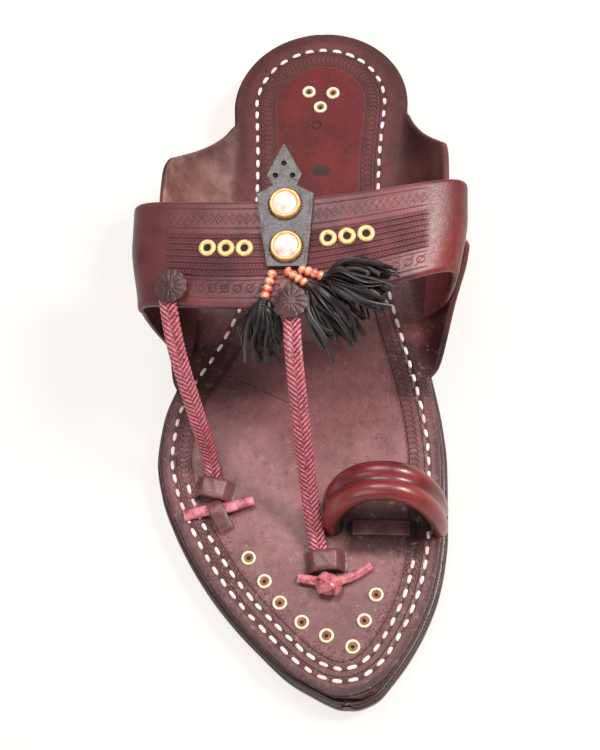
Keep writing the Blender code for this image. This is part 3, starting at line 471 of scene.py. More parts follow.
def frames_along(path, first_up=UP, turn_over=1):
    """A sideways and an upward direction at each point of a path."""
    made = []
    for i in range(len(path)):
        tangent = tangent_at(path, i)
        up = first_up.lerp(UP, min(1.0, i / turn_over))
        side = tangent.cross(up).normalized()
        made.append((side, side.cross(tangent).normalized()))
    return made


def new_object(name, data):
    """A new object in the scene."""
    made = bpy.data.objects.new(name, data)
    bpy.context.scene.collection.objects.link(made)
    return made


# Camera

# The photo's camera: place in metres, pitch in degrees, the rest in pixels, and how much is enlarged
PHOTO_CAMERA = Vector((0.060, -0.349, 0.562))
PHOTO_PITCH = 66.0
PHOTO_FOCAL = 956.0
PHOTO_WIDTH = 600.0
PHOTO_HEIGHT = 750.0
SHOE_PIXEL = (197.0, 394.0)
ENLARGED = 1.62

camera_data = bpy.data.cameras.new("camera")
camera = new_object("camera", camera_data)
bpy.context.scene.camera = camera
camera_data.sensor_width = 36.0
camera_data.lens = PHOTO_FOCAL * ENLARGED * camera_data.sensor_width / PHOTO_HEIGHT
pitched = Matrix.Rotation(math.radians(90 - PHOTO_PITCH), 4, "X")
aim = Vector((SHOE_PIXEL[0] - PHOTO_WIDTH / 2, PHOTO_HEIGHT / 2 - SHOE_PIXEL[1], -PHOTO_FOCAL))
turn = Vector((0, 0, -1)).rotation_difference(aim.normalized()).to_matrix().to_4x4()
camera.matrix_world = Matrix.Translation(PHOTO_CAMERA) @ pitched @ turn
camera_data.clip_start = 0.01
camera_data.clip_end = 20.0


# Light and floor

def area_light(name, place, aim_at, size, power, colour=(1, 1, 1)):
    light = bpy.data.lights.new(name, "AREA")
    light.shape = "DISK"
    light.size = size
    light.energy = power
    light.color = colour
    made = new_object(name, light)
    made.location = place
    made.rotation_euler = (Vector(aim_at) - Vector(place)).to_track_quat("-Z", "Y").to_euler()


area_light("sheen_light", (-0.12, 0.24, 1.15), (0, -0.12, 0), 0.5, 6.0)
area_light("key_light", (0.68, 0.06, 0.92), (0, -0.08, 0), 0.3, 12.5, (1.0, 0.97, 0.93))
area_light("fill_light", (-0.5, -0.9, 0.9), (0, -0.1, 0), 0.8, 4.0)

world = bpy.data.worlds.new("studio")
bpy.context.scene.world = world
world.use_nodes = True
background = world.node_tree.nodes["Background"]
background.inputs["Color"].default_value = (1.0, 0.985, 0.965, 1)
background.inputs["Strength"].default_value = 0.35
bpy.context.scene.view_settings.view_transform = "Standard"


# Materials

# The ring stamped on the heel panel and the band's cords, in millimetres
HEEL_DOT = (-1.5, -9.5)
HEEL_DOT_R = 1.7
CORDS_FROM = 12.6
CORD_PITCH = 2.35


def srgb(r, g, b):
    """A display colour of 0 to 255 as linear light."""
    made = []
    for c in (r, g, b):
        c = c / 255
        made.append(c / 12.92 if c <= 0.04045 else ((c + 0.055) / 1.055) ** 2.4)
    return (*made, 1.0)


class Num:
    """A number from a node, with the usual arithmetic made of math nodes."""

    def __init__(self, look, socket):
        self.look = look
        self.socket = socket

    def op(self, kind, *others):
        node = self.look.node("Math", {"operation": kind})
        for slot, item in zip(node.inputs, (self, *others)):
            self.look.feed(slot, item)
        return Num(self.look, node.outputs[0])

    def __add__(self, other):
        return self.op("ADD", other)

    def __sub__(self, other):
        return self.op("SUBTRACT", other)

    def __mul__(self, other):
        return self.op("MULTIPLY", other)

    def __truediv__(self, other):
        return self.op("DIVIDE", other)

    def __abs__(self):
        return self.op("ABSOLUTE")

    def cell(self, pitch):
        """Place inside a repeat of this pitch, from 0 to the pitch."""
        return (self / pitch).op("FRACT") * pitch

    def ramp(self, low, high):
        """0 at low, 1 at high and smooth between."""
        falling = low > high
        node = self.look.node(
            "MapRange", {"interpolation_type": "SMOOTHSTEP"}, Value=self, From_Min=min(low, high),
            From_Max=max(low, high), To_Min=float(falling), To_Max=float(not falling),
        )
        return Num(self.look, node.outputs["Result"])

    def line(self, middle, half):
        """1 on a line at this value, falling to 0 at the half width."""
        return abs(self - middle).ramp(half, 0.0)


class Look:
    """A principled material and small helpers for its nodes. Lengths are in millimetres."""

    def __init__(self, name, colour, roughness, metallic=0.0, coat=0.0, coat_roughness=0.2, specular=0.5,
                 sheen=0.0):
        self.material = bpy.data.materials.new(name)
        self.material.use_nodes = True
        self.tree = self.material.node_tree
        self.shader = self.tree.nodes["Principled BSDF"]
        self.material.diffuse_color = colour
        self.fill(
            self.shader, Base_Color=colour, Roughness=roughness, Metallic=metallic, Coat_Weight=coat,
            Coat_Roughness=coat_roughness, Specular_IOR_Level=specular, Sheen_Weight=sheen,
        )
        position = self.node("TexCoord").outputs["Object"]
        self.place = self.node("VectorMath", {"operation": "SCALE"}, Vector=position, Scale=1 / MM).outputs[0]

    def node(self, kind, settings=None, **inputs):
        """A new node with its settings and inputs."""
        made = self.tree.nodes.new("ShaderNode" + kind)
        for name, value in (settings or {}).items():
            setattr(made, name, value)
        self.fill(made, **inputs)
        return made

    def fill(self, node, **inputs):
        """Feeds inputs by name, where _ stands for a space."""
        for name, item in inputs.items():
            self.feed(node.inputs[name.replace("_", " ")], item)

    def feed(self, slot, item):
        if isinstance(item, Num):
            self.tree.links.new(item.socket, slot)
        elif hasattr(item, "links"):
            self.tree.links.new(item, slot)
        else:
            slot.default_value = item

    def split(self, socket):
        return [Num(self, out) for out in self.node("SeparateXYZ", Vector=socket).outputs]

    def facing(self):
        """The surface's direction as three numbers."""
        return self.split(self.node("NewGeometry").outputs["Normal"])

    def uv(self):
        """The two lengths that the piece carries in its UV map."""
        return self.split(self.node("UVMap", {"uv_map": "lengths"}).outputs[0])[:2]

    def noise(self, size, detail=3.0, roughness=0.55, stretch=(1, 1, 1), offset=0.0):
        """Noise whose features are about this many millimetres across."""
        mapping = self.node("Mapping", Vector=self.place, Scale=[s / size for s in stretch],
                            Location=(offset, offset * 0.7, -offset))
        node = self.node("TexNoise", Vector=mapping.outputs[0], Scale=1.0, Detail=detail, Roughness=roughness)
        return Num(self, node.outputs["Fac"])

    def cells(self, size):
        """Distance in a field of small cells of this size."""
        mapping = self.node("Mapping", Vector=self.place, Scale=[1 / size] * 3)
        node = self.node("TexVoronoi", {"feature": "F1"}, Vector=mapping.outputs[0], Scale=1.0)
        return Num(self, node.outputs["Distance"])

    def mix(self, first, second, share):
        """Colour between two colours."""
        node = self.node("Mix", {"data_type": "RGBA"})
        for slot, item in ((0, share), (6, first), (7, second)):
            self.feed(node.inputs[slot], item)
        return node.outputs[2]

    def done(self, colour, height, roughness=None):
        """The material, with its colour, the height of its relief in millimetres and its roughness."""
        bumped = self.node("Bump", Strength=1.0, Distance=MM, Height=height).outputs[0]
        self.fill(self.shader, Base_Color=colour, Normal=bumped, Coat_Normal=bumped)
        if roughness is not None:
            self.fill(self.shader, Roughness=roughness)
        return self.material


def distance(a, b):
    """Distance of a point from the middle, from its two node numbers."""
    return (a * a + b * b).op("SQRT")


def darker(colour, share):
    """A colour with this share of its light."""
    return [c * share for c in colour[:3]] + [1.0]


def grain(look, depth):
    """Height of fine leather grain: small flat cells with creases between, and pores."""
    pebbles = look.cells(0.9).ramp(0.15, 0.75) * depth
    pores = look.noise(0.5, 2.0) * (depth * 0.8)
    folds = look.noise(5.0, 4.0, 0.6, (1, 0.35, 1)) * (depth * 2.6)
    return pores - pebbles + folds


def insole_look():
    """The insole's leather, placed by its map of the stitching and by its place in the sandal."""
    look = Look("oxblood insole leather", srgb(88, 36, 40), 0.45, coat=0.05, coat_roughness=0.4,
                specular=0.34)
    along, inward = look.uv()
    x, y, _ = look.split(look.place)
    blotch = look.noise(26, 5.0, 0.68)
    mottle = look.noise(7, 5.0, 0.65, offset=12)
    fine = look.noise(2.4, 5.0, 0.7, offset=7)
    panel = inward.ramp(7.4, 9.0)
    forefoot = y.ramp(-60, -120)
    heel = y.ramp(-72, -40)
    body = look.mix(srgb(76, 32, 32), srgb(98, 48, 46), blotch.ramp(0.3, 0.7))
    # The forefoot's pale mauve tone is partly the leather's own and partly painted sheen
    mauve = look.mix(srgb(124, 76, 78), srgb(154, 104, 106), blotch.ramp(0.25, 0.75))
    red = look.mix(srgb(76, 10, 12), srgb(108, 24, 24), blotch.ramp(0.3, 0.7))
    body = look.mix(body, mauve, forefoot * (panel * 0.55 + 0.35))
    body = look.mix(body, red, heel * panel)
    flap = inward.ramp(-5.0, -12.0)
    patches = look.noise(18, 2.5, 0.5, (1, 0.6, 1), 3).ramp(0.3, 0.7)
    worn = look.mix(srgb(66, 26, 26), srgb(106, 56, 52), patches)
    body = look.mix(body, worn, flap * 0.85)
    # The inner face of the lateral flap is pale towards its rear: partly rubbed, partly painted sheen on the
    # faces turned to the light
    inside = look.facing()[0].ramp(-0.1, 0.3)
    rubbed_and_sheen = look.noise(9, 4.0, 0.6, offset=16).ramp(0.35, 0.65) * 0.5 + 0.25
    rubbed_and_sheen = flap * inside * x.ramp(-30, -36) * y.ramp(-80, -66) * rubbed_and_sheen
    body = look.mix(body, srgb(152, 116, 108), rubbed_and_sheen)
    body = look.mix(body, srgb(84, 48, 46), y.ramp(-174, -210) * 0.42)
    # Crescents stamped in a row inside the stitching
    pitch = 2.3
    radius = 2.0
    rise = inward - 4.4 - x.ramp(18, 30) * y.ramp(-182, -168) * 1.4
    local = along.cell(pitch) - 0.3
    crescent = abs(distance(local, rise) - radius).ramp(0.38, 0.05)
    crescent = crescent * y.ramp(-205, -196) * fine.ramp(0.25, 0.45)
    # Scored lines on both sides of the stitching and inside the crescents
    scored = inward.line(1.6, 0.28) + inward.line(7.2, 0.32) * 0.8
    scored = scored + inward.line(-5.4, 0.3) * y.ramp(-126, -138)
    toe_field = y.ramp(-160, -172) * inward.ramp(4.6, 5.6) * inward.ramp(12.5, 11.0)
    stipple = look.cells(1.15).ramp(0.42, 0.12) * toe_field
    seam = inward.line(0.0, 1.3)
    second = inward.line(4.5, 1.1) * y.ramp(-166, -174)
    # A fine diagonal crease on the forefoot, and a ring stamped behind the heel's eyelets
    slant = (y + x * 0.453 + 132.0) + look.noise(20, 2.0, offset=4) * 3.0 - 1.5
    crease = abs(slant).ramp(0.45, 0.05) * x.ramp(-38, -34) * x.ramp(-4, -10)
    dot = abs(distance(x - HEEL_DOT[0], y - HEEL_DOT[1]) - HEEL_DOT_R).ramp(0.5, 0.05)
    # A small greenish smudge just behind the plate
    smudge_x = (x - 1.5) / 5.0
    smudge_y = (y + 31.2) / 3.2
    smudge = (smudge_x * smudge_x + smudge_y * smudge_y).ramp(1.0, 0.3) * fine.ramp(0.2, 0.45)
    # Soft wrinkles where the flaps turn up
    wrinkle = look.noise(12, 2.0, 0.4, (0.5, 1.0, 0.5), 9).ramp(0.3, 0.7) * inward.ramp(-3.0, -9.0)
    rows = seam + second
    marks = crescent * 0.2 + scored * 0.22 + stipple * 0.16 + rows * 0.25 + crease * 0.2 + dot * 0.2
    dark = crescent * 0.34 + scored * 0.6 + stipple * 0.2 + rows * 0.5 + crease * 0.7 + dot * 0.7
    # Painted shade inside the toe ring and beneath the band
    ringed = x.ramp(12, 18) * x.ramp(48, 42) * y.ramp(-191, -186) * y.ramp(-157, -166)
    beneath = y.ramp(-131, -122) * y.ramp(-100, -106)
    painted_shade = ringed * 0.75 + beneath * (abs(x).ramp(22, 40) * 0.35 + 0.35)
    body = look.mix(body, srgb(32, 12, 14), painted_shade)
    body = look.mix(body, srgb(34, 13, 16), dark.op("MINIMUM", 0.8))
    # The margin outside the stitching is burnished dark, most at the toe's tip
    margin = inward.ramp(-1.6, -3.4) * y.ramp(-126, -140) * 0.62
    margin = margin + inward.ramp(-2.0, -6.5) * y.ramp(-42, -22) * 0.5
    margin = margin + inward.ramp(-0.8, -2.6) * y.ramp(-222, -236) * 0.3
    body = look.mix(body, srgb(48, 15, 17), margin)
    body = look.mix(body, srgb(48, 16, 20), mottle.ramp(0.48, 0.7) * 0.2)
    body = look.mix(body, srgb(40, 14, 18), fine.ramp(0.54, 0.74) * 0.5)
    # Pale specks on the forefoot are painted glints of the grain
    body = look.mix(body, srgb(168, 126, 126), fine.ramp(0.45, 0.27) * forefoot * 0.5)
    body = look.mix(body, srgb(30, 36, 28), smudge * 0.85)
    rough = fine * 0.3 + ringed * 0.4 + heel * 0.2 + 0.26
    return look.done(body, grain(look, 0.05) - marks - wrinkle * 0.5, rough)


def band_look():
    """The band's tooled leather, placed by its map of lengths along and across the band."""
    look = Look("oxblood tooled leather", srgb(78, 32, 36), 0.38, coat=0.08, coat_roughness=0.35,
                specular=0.4)
    along, across = look.uv()
    blotch = look.noise(20, 4.0, 0.6, offset=3)
    fine = look.noise(2.2, 5.0, 0.7)
    body = look.mix(srgb(70, 22, 28), srgb(122, 58, 62), blotch.ramp(0.32, 0.68))
    # Painted shade on the band's left end, which turns away from the light
    body = look.mix(body, srgb(46, 16, 20), along.ramp(-14, -54) * 0.5)
    rear = across.ramp(18, 34)
    body = look.mix(body, srgb(104, 58, 60), rear * 0.3)
    # The right shoulder is worn to red, more orange towards the front
    ember = look.mix(srgb(128, 38, 28), srgb(104, 28, 28), across.ramp(10, 26))
    worn = look.mix(ember, srgb(70, 26, 28), fine.ramp(0.38, 0.62) * 0.7)
    shoulder = along.ramp(43, 49) * along.ramp(66, 56)
    body = look.mix(body, worn, shoulder * blotch.ramp(0.15, 0.45) * 0.85)
    tooled = (abs(along + 1.0) + fine * 3.0).ramp(50, 46)
    # Seven twisted cords with gutters between them
    cords = across.line(CORDS_FROM, 0.85)
    gutter = across.line(CORDS_FROM - 1.2, 0.5)
    for number in range(1, 7):
        cords = cords + across.line(CORDS_FROM + CORD_PITCH * number, 0.85)
        gutter = gutter + across.line(CORDS_FROM - 1.2 + CORD_PITCH * number, 0.5)
    notch = abs((along + across * 0.7).cell(1.25) - 0.62).ramp(0.2, 0.58)
    # A leafy zigzag chain near the rear edge
    local = abs(along.cell(2.6) - 1.3)
    leaf_rise = abs(across - 33.0)
    slope = local * 1.5 - leaf_rise
    chain = slope.line(0.0, 0.75) + (slope - 1.4).line(0.0, 0.4) * 0.6
    chain = chain * leaf_rise.ramp(2.7, 2.0)
    # A row of small scrolls near the front edge
    swing = along.cell(4.6) - 2.3
    turn = across - 6.6
    spiral = (distance(swing, turn) - 1.35).line(0.0, 0.42)
    bar = (swing - turn * 0.9).line(0.0, 0.45) * abs(turn).ramp(2.6, 1.9)
    scroll = (spiral + bar * 0.7) * abs(turn).ramp(2.8, 2.2)
    border = across.line(36.8, 0.35) + across.line(29.4, 0.4) + across.line(9.7, 0.35) * 0.8
    border = border + across.line(3.2, 0.35)
    soft = fine.ramp(0.15, 0.4) * 0.5 + 0.5
    cut = gutter * 0.95 + cords * notch * 0.85 + chain * 0.3 + scroll * 0.4 + border * 0.4
    cut = cut * tooled * soft
    body = look.mix(body, srgb(98, 22, 42), cords * tooled * 0.3)
    body = look.mix(body, srgb(26, 8, 11), (cut * 0.85).op("MINIMUM", 0.85))
    return look.done(body, grain(look, 0.02) + cords * tooled * 0.16 - cut * 0.26, fine * 0.22 + 0.3)


def plain_leather(name, low, high, rough=0.4, size=14, coat=0.1, depth=0.04, seed=1.0):
    """Leather of two near colours in blotches, with grain and small worn specks."""
    look = Look(name, srgb(*low), rough, coat=coat, coat_roughness=0.25)
    blotch = look.noise(size, 4.0, 0.6, offset=seed)
    fine = look.noise(1.6, 4.0, 0.6, offset=seed + 5)
    body = look.mix(srgb(*low), srgb(*high), blotch.ramp(0.3, 0.7))
    body = look.mix(body, darker(srgb(*low), 0.45), fine.ramp(0.6, 0.75) * 0.35)
    return look.done(body, grain(look, depth), fine * 0.22 + (rough - 0.1))


def layered_edge(name, low, high, rough, under=None):
    """A sole layer: cut fibres as fine streaks along its burnished side, and its underside."""
    look = Look(name, srgb(*low), rough, coat=0.2, coat_roughness=0.25)
    streak = look.noise(1.2, 5.0, 0.7, (0.12, 0.12, 2.2))
    blotch = look.noise(16, 4.0, 0.6, offset=2)
    body = look.mix(srgb(*low), srgb(*high), streak.ramp(0.3, 0.7))
    body = look.mix(body, darker(srgb(*low), 0.5), blotch.ramp(0.55, 0.8) * 0.6)
    if under:
        down = look.facing()[2].ramp(-0.5, -0.8)
        body = look.mix(body, look.mix(srgb(*under), srgb(*[c * 0.8 for c in under]), blotch), down)
    return look.done(body, streak * 0.12 + look.noise(0.6, 3.0) * 0.06, streak * 0.25 + rough - 0.1)


def metal(name, low, high, rough):
    """Gilt plating over brass, softly tarnished, with faint scratches."""
    look = Look(name, srgb(*low), rough, metallic=0.4, coat=0.3, coat_roughness=0.15)
    cloud = look.noise(1.6, 4.0, 0.6)
    scratch = look.noise(0.5, 3.0, 0.5, (1, 8, 1))
    body = look.mix(srgb(*low), srgb(*high), cloud.ramp(0.3, 0.7))
    return look.done(body, scratch * 0.015, cloud * 0.2 + rough)


def braid_look():
    """Crimson strands, pink along their middles, partly rubbed and partly painted highlight, with painted
    shade at their edges and where they tuck under.
    """
    look = Look("braided leather", srgb(128, 28, 46), 0.38, coat=0.2, coat_roughness=0.25)
    across, along = look.uv()
    fine = look.noise(1.1, 4.0, 0.6, offset=8)
    blotch = look.noise(9, 3.0, 0.6, offset=14)
    body = look.mix(srgb(116, 20, 38), srgb(150, 40, 58), blotch.ramp(0.3, 0.7))
    # Pink along the strands' middles: partly rubbed, partly painted highlight
    rubbed_and_sheen = abs(across).ramp(0.8, 0.15) * fine.ramp(0.3, 0.6) * 0.72
    body = look.mix(body, srgb(228, 150, 156), rubbed_and_sheen)
    # Painted shade at the strands' edges and where they tuck under
    body = look.mix(body, srgb(74, 12, 26), abs(across).ramp(0.66, 1.0) * 0.75)
    body = look.mix(body, srgb(60, 10, 20), along.ramp(0.82, 1.0) * 0.7)
    return look.done(body, grain(look, 0.015), fine * 0.2 + 0.28)


def ring_look():
    """Glossy rolled leather, lighter on the front roll, with painted shade in the groove between the rolls
    and a painted shadow on the inner face.
    """
    look = Look("ring leather", srgb(92, 18, 22), 0.34, coat=0.35, coat_roughness=0.22)
    across, outward = look.uv()
    cloud = look.noise(12, 4.0, 0.6, (1, 2.5, 1), 6)
    fine = look.noise(1.6, 4.0, 0.6, offset=11)
    body = look.mix(srgb(84, 14, 20), srgb(124, 28, 36), cloud.ramp(0.3, 0.7))
    body = look.mix(body, srgb(140, 52, 40), across.ramp(0.0, -4.0) * 0.4)
    # Painted shade in the groove between the rolls, and a painted shadow on the arch's inner face
    body = look.mix(body, srgb(34, 8, 9), across.line(0.0, 0.9) * 0.7)
    body = look.mix(body, srgb(12, 4, 5), outward.ramp(0.2, -1.0))
    body = look.mix(body, srgb(44, 10, 11), fine.ramp(0.6, 0.75) * 0.35)
    return look.done(body, grain(look, 0.012), cloud * 0.2 + 0.26)


def thread_look():
    """White stitching with a twist along it, tinged with pink in places."""
    look = Look("white thread", srgb(238, 214, 212), 0.65, sheen=0.3)
    along, around = look.uv()
    twist = (along * 1.3 + around * 1.0).cell(1.0)
    pink = look.noise(7, 2.0, offset=4)
    ridge = abs(twist - 0.5)
    body = look.mix(srgb(255, 246, 244), srgb(238, 190, 194), pink.ramp(0.42, 0.7))
    # Painted shade in the grooves of the twist
    body = look.mix(body, srgb(176, 108, 116), ridge.ramp(0.32, 0.5) * 0.6)
    return look.done(body, ridge * -0.16 + look.noise(0.35) * 0.05)


def pearl_look():
    look = Look("pearl", srgb(232, 200, 192), 0.3, coat=0.4, coat_roughness=0.15)
    cloud = look.noise(3.5, 3.0, 0.5)
    body = look.mix(srgb(240, 214, 204), srgb(230, 170, 166), cloud.ramp(0.4, 0.75))
    return look.done(body, cloud * 0.05)


def bead_look():
    look = Look("bead copper", srgb(236, 104, 78), 0.25, metallic=0.3, coat=0.4, coat_roughness=0.1)
    cloud = look.noise(2.0, 2.0, 0.5)
    body = look.mix(srgb(238, 104, 76), srgb(255, 190, 156), cloud.ramp(0.35, 0.65))
    return look.done(body, look.noise(0.6) * 0.04)


def floor_look():
    look = Look("studio floor", (0.16, 0.155, 0.148, 1), 0.9)
    look.fill(look.shader, Emission_Color=(1.0, 0.97, 0.94, 1), Emission_Strength=0.8)
    cloud = look.noise(300, 2.0)
    body = look.mix((0.165, 0.16, 0.153, 1), (0.155, 0.15, 0.143, 1), cloud)
    return look.done(body, look.noise(2.0, 2.0) * 0.02)


INSOLE = insole_look()
BAND = band_look()
RING_RED = ring_look()
KEEPER = plain_leather("keeper leather", (96, 54, 56), (132, 86, 86), 0.4, coat=0.1, seed=2)
ROSETTE = plain_leather("rosette leather", (56, 28, 30), (86, 48, 50), 0.46, 6, coat=0.05, seed=3)
CRIMSON = plain_leather("crimson leather", (142, 34, 54), (212, 128, 136), 0.36, 4, coat=0.25, depth=0.02,
                        seed=4)
BRAID = braid_look()
FOLDED = plain_leather("folded braid leather", (84, 44, 46), (124, 78, 78), 0.4, 7, seed=5)
SLATE = plain_leather("slate leather", (44, 36, 38), (80, 68, 70), 0.36, 8, coat=0.2, seed=8)
SLATE_LIGHT = plain_leather("light slate edge", (104, 92, 94), (150, 138, 136), 0.34, 5, seed=11)
BLACK = plain_leather("black leather", (16, 10, 11), (50, 38, 39), 0.42, 6, coat=0.1, depth=0.02, seed=9)
# Flat stand-ins for holes and slots are painted dark as the shade in them
HOLE_SHADE = plain_leather("painted hole shade", (16, 7, 6), (34, 14, 12), 0.8, 3, coat=0.0, seed=10)
HOLE = plain_leather("leather in the eyelets", (100, 58, 34), (160, 98, 58), 0.6, 2, coat=0.0, seed=12)
SOLE_EDGE = layered_edge("burnished sole leather", (46, 20, 18), (92, 50, 38), 0.38, (176, 122, 78))
DARK_EDGE = layered_edge("burnished edge leather", (34, 13, 13), (66, 28, 26), 0.34)
GOLD = metal("gold", (246, 164, 92), (255, 218, 156), 0.26)
PALE_GOLD = metal("pale gold", (240, 214, 168), (255, 244, 218), 0.3)
DARK_GOLD = metal("dark gilt", (84, 56, 38), (150, 104, 62), 0.34)
THREAD = thread_look()
PEARL = pearl_look()
BEAD = bead_look()


# Mesh helpers

# Radius of the pinhole in the middle of a turned form
HUB = 0.02
# Axes of a round form that lies flat
LYING = (Vector((1, 0, 0)), Vector((0, 1, 0)), UP)


def add_piece(name, points, faces, look, slot, *nodes, lengths=None, sharp=50):
    """A mesh piece from points in millimetres, riding on the one body."""
    mesh = bpy.data.meshes.new(name)
    mesh.from_pydata((np.asarray(points, float) * MM).tolist(), [], [tuple(map(int, f)) for f in faces])
    mesh.materials.append(look)
    if lengths is not None:
        corner = np.empty(len(mesh.loops), np.int32)
        mesh.loops.foreach_get("vertex_index", corner)
        layer = mesh.uv_layers.new(name="lengths")
        layer.data.foreach_set("uv", np.asarray(lengths, np.float32)[corner].ravel())
    mesh.shade_smooth()
    mesh.set_sharp_from_angle(angle=math.radians(sharp))
    mesh.update()
    made = new_object(name, mesh)
    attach(made, "root")
    if nodes:
        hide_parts(*nodes)


class Joined:
    """Many small closed forms gathered into one mesh."""

    def __init__(self):
        self.points = []
        self.faces = []
        self.lengths = []
        self.count = 0

    def add(self, points, faces, lengths=None):
        points = np.asarray(points, float)
        self.points.append(points)
        self.faces += [tuple(i + self.count for i in face) for face in faces]
        self.lengths.append(np.zeros((len(points), 2)) if lengths is None else np.asarray(lengths, float))
        self.count += len(points)

    def piece(self, name, look, slot, *nodes, sharp=50):
        add_piece(name, np.concatenate(self.points), self.faces, look, slot, *nodes,
                  lengths=np.concatenate(self.lengths), sharp=sharp)


def single(parts, name, look, slot, *nodes, sharp=50):
    """A piece of one closed form."""
    made = Joined()
    made.add(*parts)
    made.piece(name, look, slot, *nodes, sharp=sharp)


def tube_faces(rows, around):
    """Faces of a closed tube whose points are given row by row."""
    faces = []
    for i in range(rows - 1):
        for j in range(around):
            a = i * around + j
            b = i * around + (j + 1) % around
            faces.append((a, b, b + around, a + around))
    return faces + [tuple(range(around))[::-1], tuple(range((rows - 1) * around, rows * around))]


def ringed_piece(name, rings, look, slot, *nodes):
    """A closed form from rings of points, one after the other."""
    points = [p for ring in rings for p in ring]
    add_piece(name, points, tube_faces(len(rings), len(rings[0])), look, slot, *nodes)


def swept(path, frames, section):
    """Points and faces of a section of (sideways, upward) pairs carried along a path."""
    points = [centre + side * a + up * b for centre, (side, up) in zip(path, frames) for a, b in section]
    return points, tube_faces(len(path), len(section))


def shell_parts(upper, lower, missing=()):
    """Points and faces of a sheet with two faces, walls at its borders and at missing cells."""
    upper = np.asarray(upper, float)
    lower = np.asarray(lower, float)
    rows, columns = upper.shape[:2]
    other = rows * columns
    gone = set(missing)

    def present(r, c):
        return 0 <= r < rows - 1 and 0 <= c < columns - 1 and (r, c) not in gone

    faces = []
    for r in range(rows - 1):
        for c in range(columns - 1):
            if (r, c) in gone:
                continue
            a = r * columns + c
            b = a + 1
            d = a + columns
            e = d + 1
            faces.append((a, b, e, d))
            faces.append((a + other, d + other, e + other, b + other))
            for near, far, beside in (
                (a, b, (r - 1, c)),
                (b, e, (r, c + 1)),
                (e, d, (r + 1, c)),
                (d, a, (r, c - 1)),
            ):
                if not present(*beside):
                    faces.append((far, near, near + other, far + other))
    points = np.concatenate([upper.reshape(-1, 3), lower.reshape(-1, 3)])
    used = sorted({i for face in faces for i in face})
    renamed = np.full(len(points), -1)
    renamed[used] = np.arange(len(used))
    return points[used], [tuple(renamed[i] for i in face) for face in faces], used


def spokes(axis, count):
    """Directions square to an axis and evenly round it."""
    first = axis.orthogonal().normalized()
    second = axis.cross(first)
    bends = [2 * math.pi * k / count for k in range(count)]
    return [first * math.cos(bend) + second * math.sin(bend) for bend in bends]


def turned_parts(centre, axis, profile, segments):
    """Points and faces of a closed profile of (radius, height) turned about an axis."""
    axis = Vector(axis).normalized()
    points = []
    for spoke in spokes(axis, segments):
        points += [centre + spoke * radius + axis * height for radius, height in profile]
    size = len(profile)
    faces = []
    for k in range(segments):
        here = k * size
        there = (k + 1) % segments * size
        for i in range(size):
            j = (i + 1) % size
            faces.append((here + i, here + j, there + j, there + i))
    return points, faces


def disc(radius, rim, middle):
    """Profile of a flat disc with these heights at its rim and its middle."""
    return [(HUB, 0.0), (radius, 0.0), (radius, rim), (HUB, middle)]


def ball_parts(centre, radii, axes, levels=8, around=12):
    """A round bead with its own three radii and directions."""
    points = []
    for i in range(levels + 1):
        tilt = math.pi * (i + 0.02) / (levels + 0.04)
        for k in range(around):
            turn = 2 * math.pi * k / around
            points.append(
                centre
                + axes[0] * (radii[0] * math.sin(tilt) * math.cos(turn))
                + axes[1] * (radii[1] * math.sin(tilt) * math.sin(turn))
                + axes[2] * (radii[2] * math.cos(tilt))
            )
    return points, tube_faces(levels + 1, around)


def wave(seed, x, y):
    """Gentle irregular height from a few sine waves, about -1 to 1, for arrays."""
    draw = np.random.RandomState(seed)
    waves = 7
    total = 0.0
    for _ in range(waves):
        turn = draw.uniform(0, math.pi)
        speed = draw.uniform(0.5, 1.6)
        total = total + np.sin((x * math.cos(turn) + y * math.sin(turn)) * speed + draw.uniform(0, 6.3))
    return total / waves * 1.6


# Sole layers

def layer_piece(name, toe_inset, heel_inset, low, thick, profile, look, slot):
    """A sole layer: side wall from a profile of (inset, share of thickness), then its two faces."""
    lateral, medial = (
        [(*inset_curve(side, toe_inset + inset, heel_inset + inset), share) for inset, share in profile]
        for side in (-1, 1)
    )

    def wall(curves, i):
        return [(xs[i], ys[i], float(low(ys[i])) + thick * share) for xs, ys, share in curves]

    def face(start, end, i, rise):
        made = []
        for t in [k / 10 for k in range(1, 10)]:
            x, y = (start[axis][i] * (1 - t) + end[axis][i] * t for axis in (0, 1))
            made.append((x, y, float(low(y)) + rise))
        return made

    count = len(lateral[0][0]) - 3
    picked = [*range(0, 60, 2), *range(60, OUTLINE_POINTS, 4), *range(OUTLINE_POINTS, count, 2)]
    rings = []
    for i in picked:
        upper = wall(lateral, i) + face(lateral[-1], medial[-1], i, thick)
        rings.append(upper + wall(medial[::-1], i) + face(medial[0], lateral[0], i, 0.0))
    ringed_piece(name + "_leather", rings, look, slot, name)


# Inset from the edge, share of the thickness
ROUND_EDGE = (
    (0.9, 0.0), (0.35, 0.06), (0.08, 0.18), (0.0, 0.34), (0.0, 0.66), (0.08, 0.82), (0.35, 0.94), (0.9, 1.0),
)
GROOVED_EDGE = (
    (0.9, 0.0), (0.3, 0.07), (0.0, 0.22), (0.0, 0.40), (0.35, 0.48), (0.35, 0.54), (0.0, 0.62),
    (0.0, 0.80), (0.3, 0.94), (0.9, 1.0),
)
# Height and inset of the heel's side
HEEL_LEVELS = (
    (0.0, 0.9), (0.3, 0.3), (0.9, 0.0), (3.7, 0.0), (4.2, 0.35), (4.5, 0.5), (4.8, 0.35), (5.3, 0.0),
    (8.4, 0.0), (8.85, 0.2), (9.0, 0.6),
)
layer_piece("outsole", 0.0, 0.0, sole_bottom, OUTSOLE_T, ROUND_EDGE, SOLE_EDGE, "tan_leather")
layer_piece(
    "midsole", 0.6, 0.3, lambda y: sole_bottom(y) + OUTSOLE_T + GAP, MIDSOLE_T, GROOVED_EDGE, DARK_EDGE,
    "edge_leather",
)


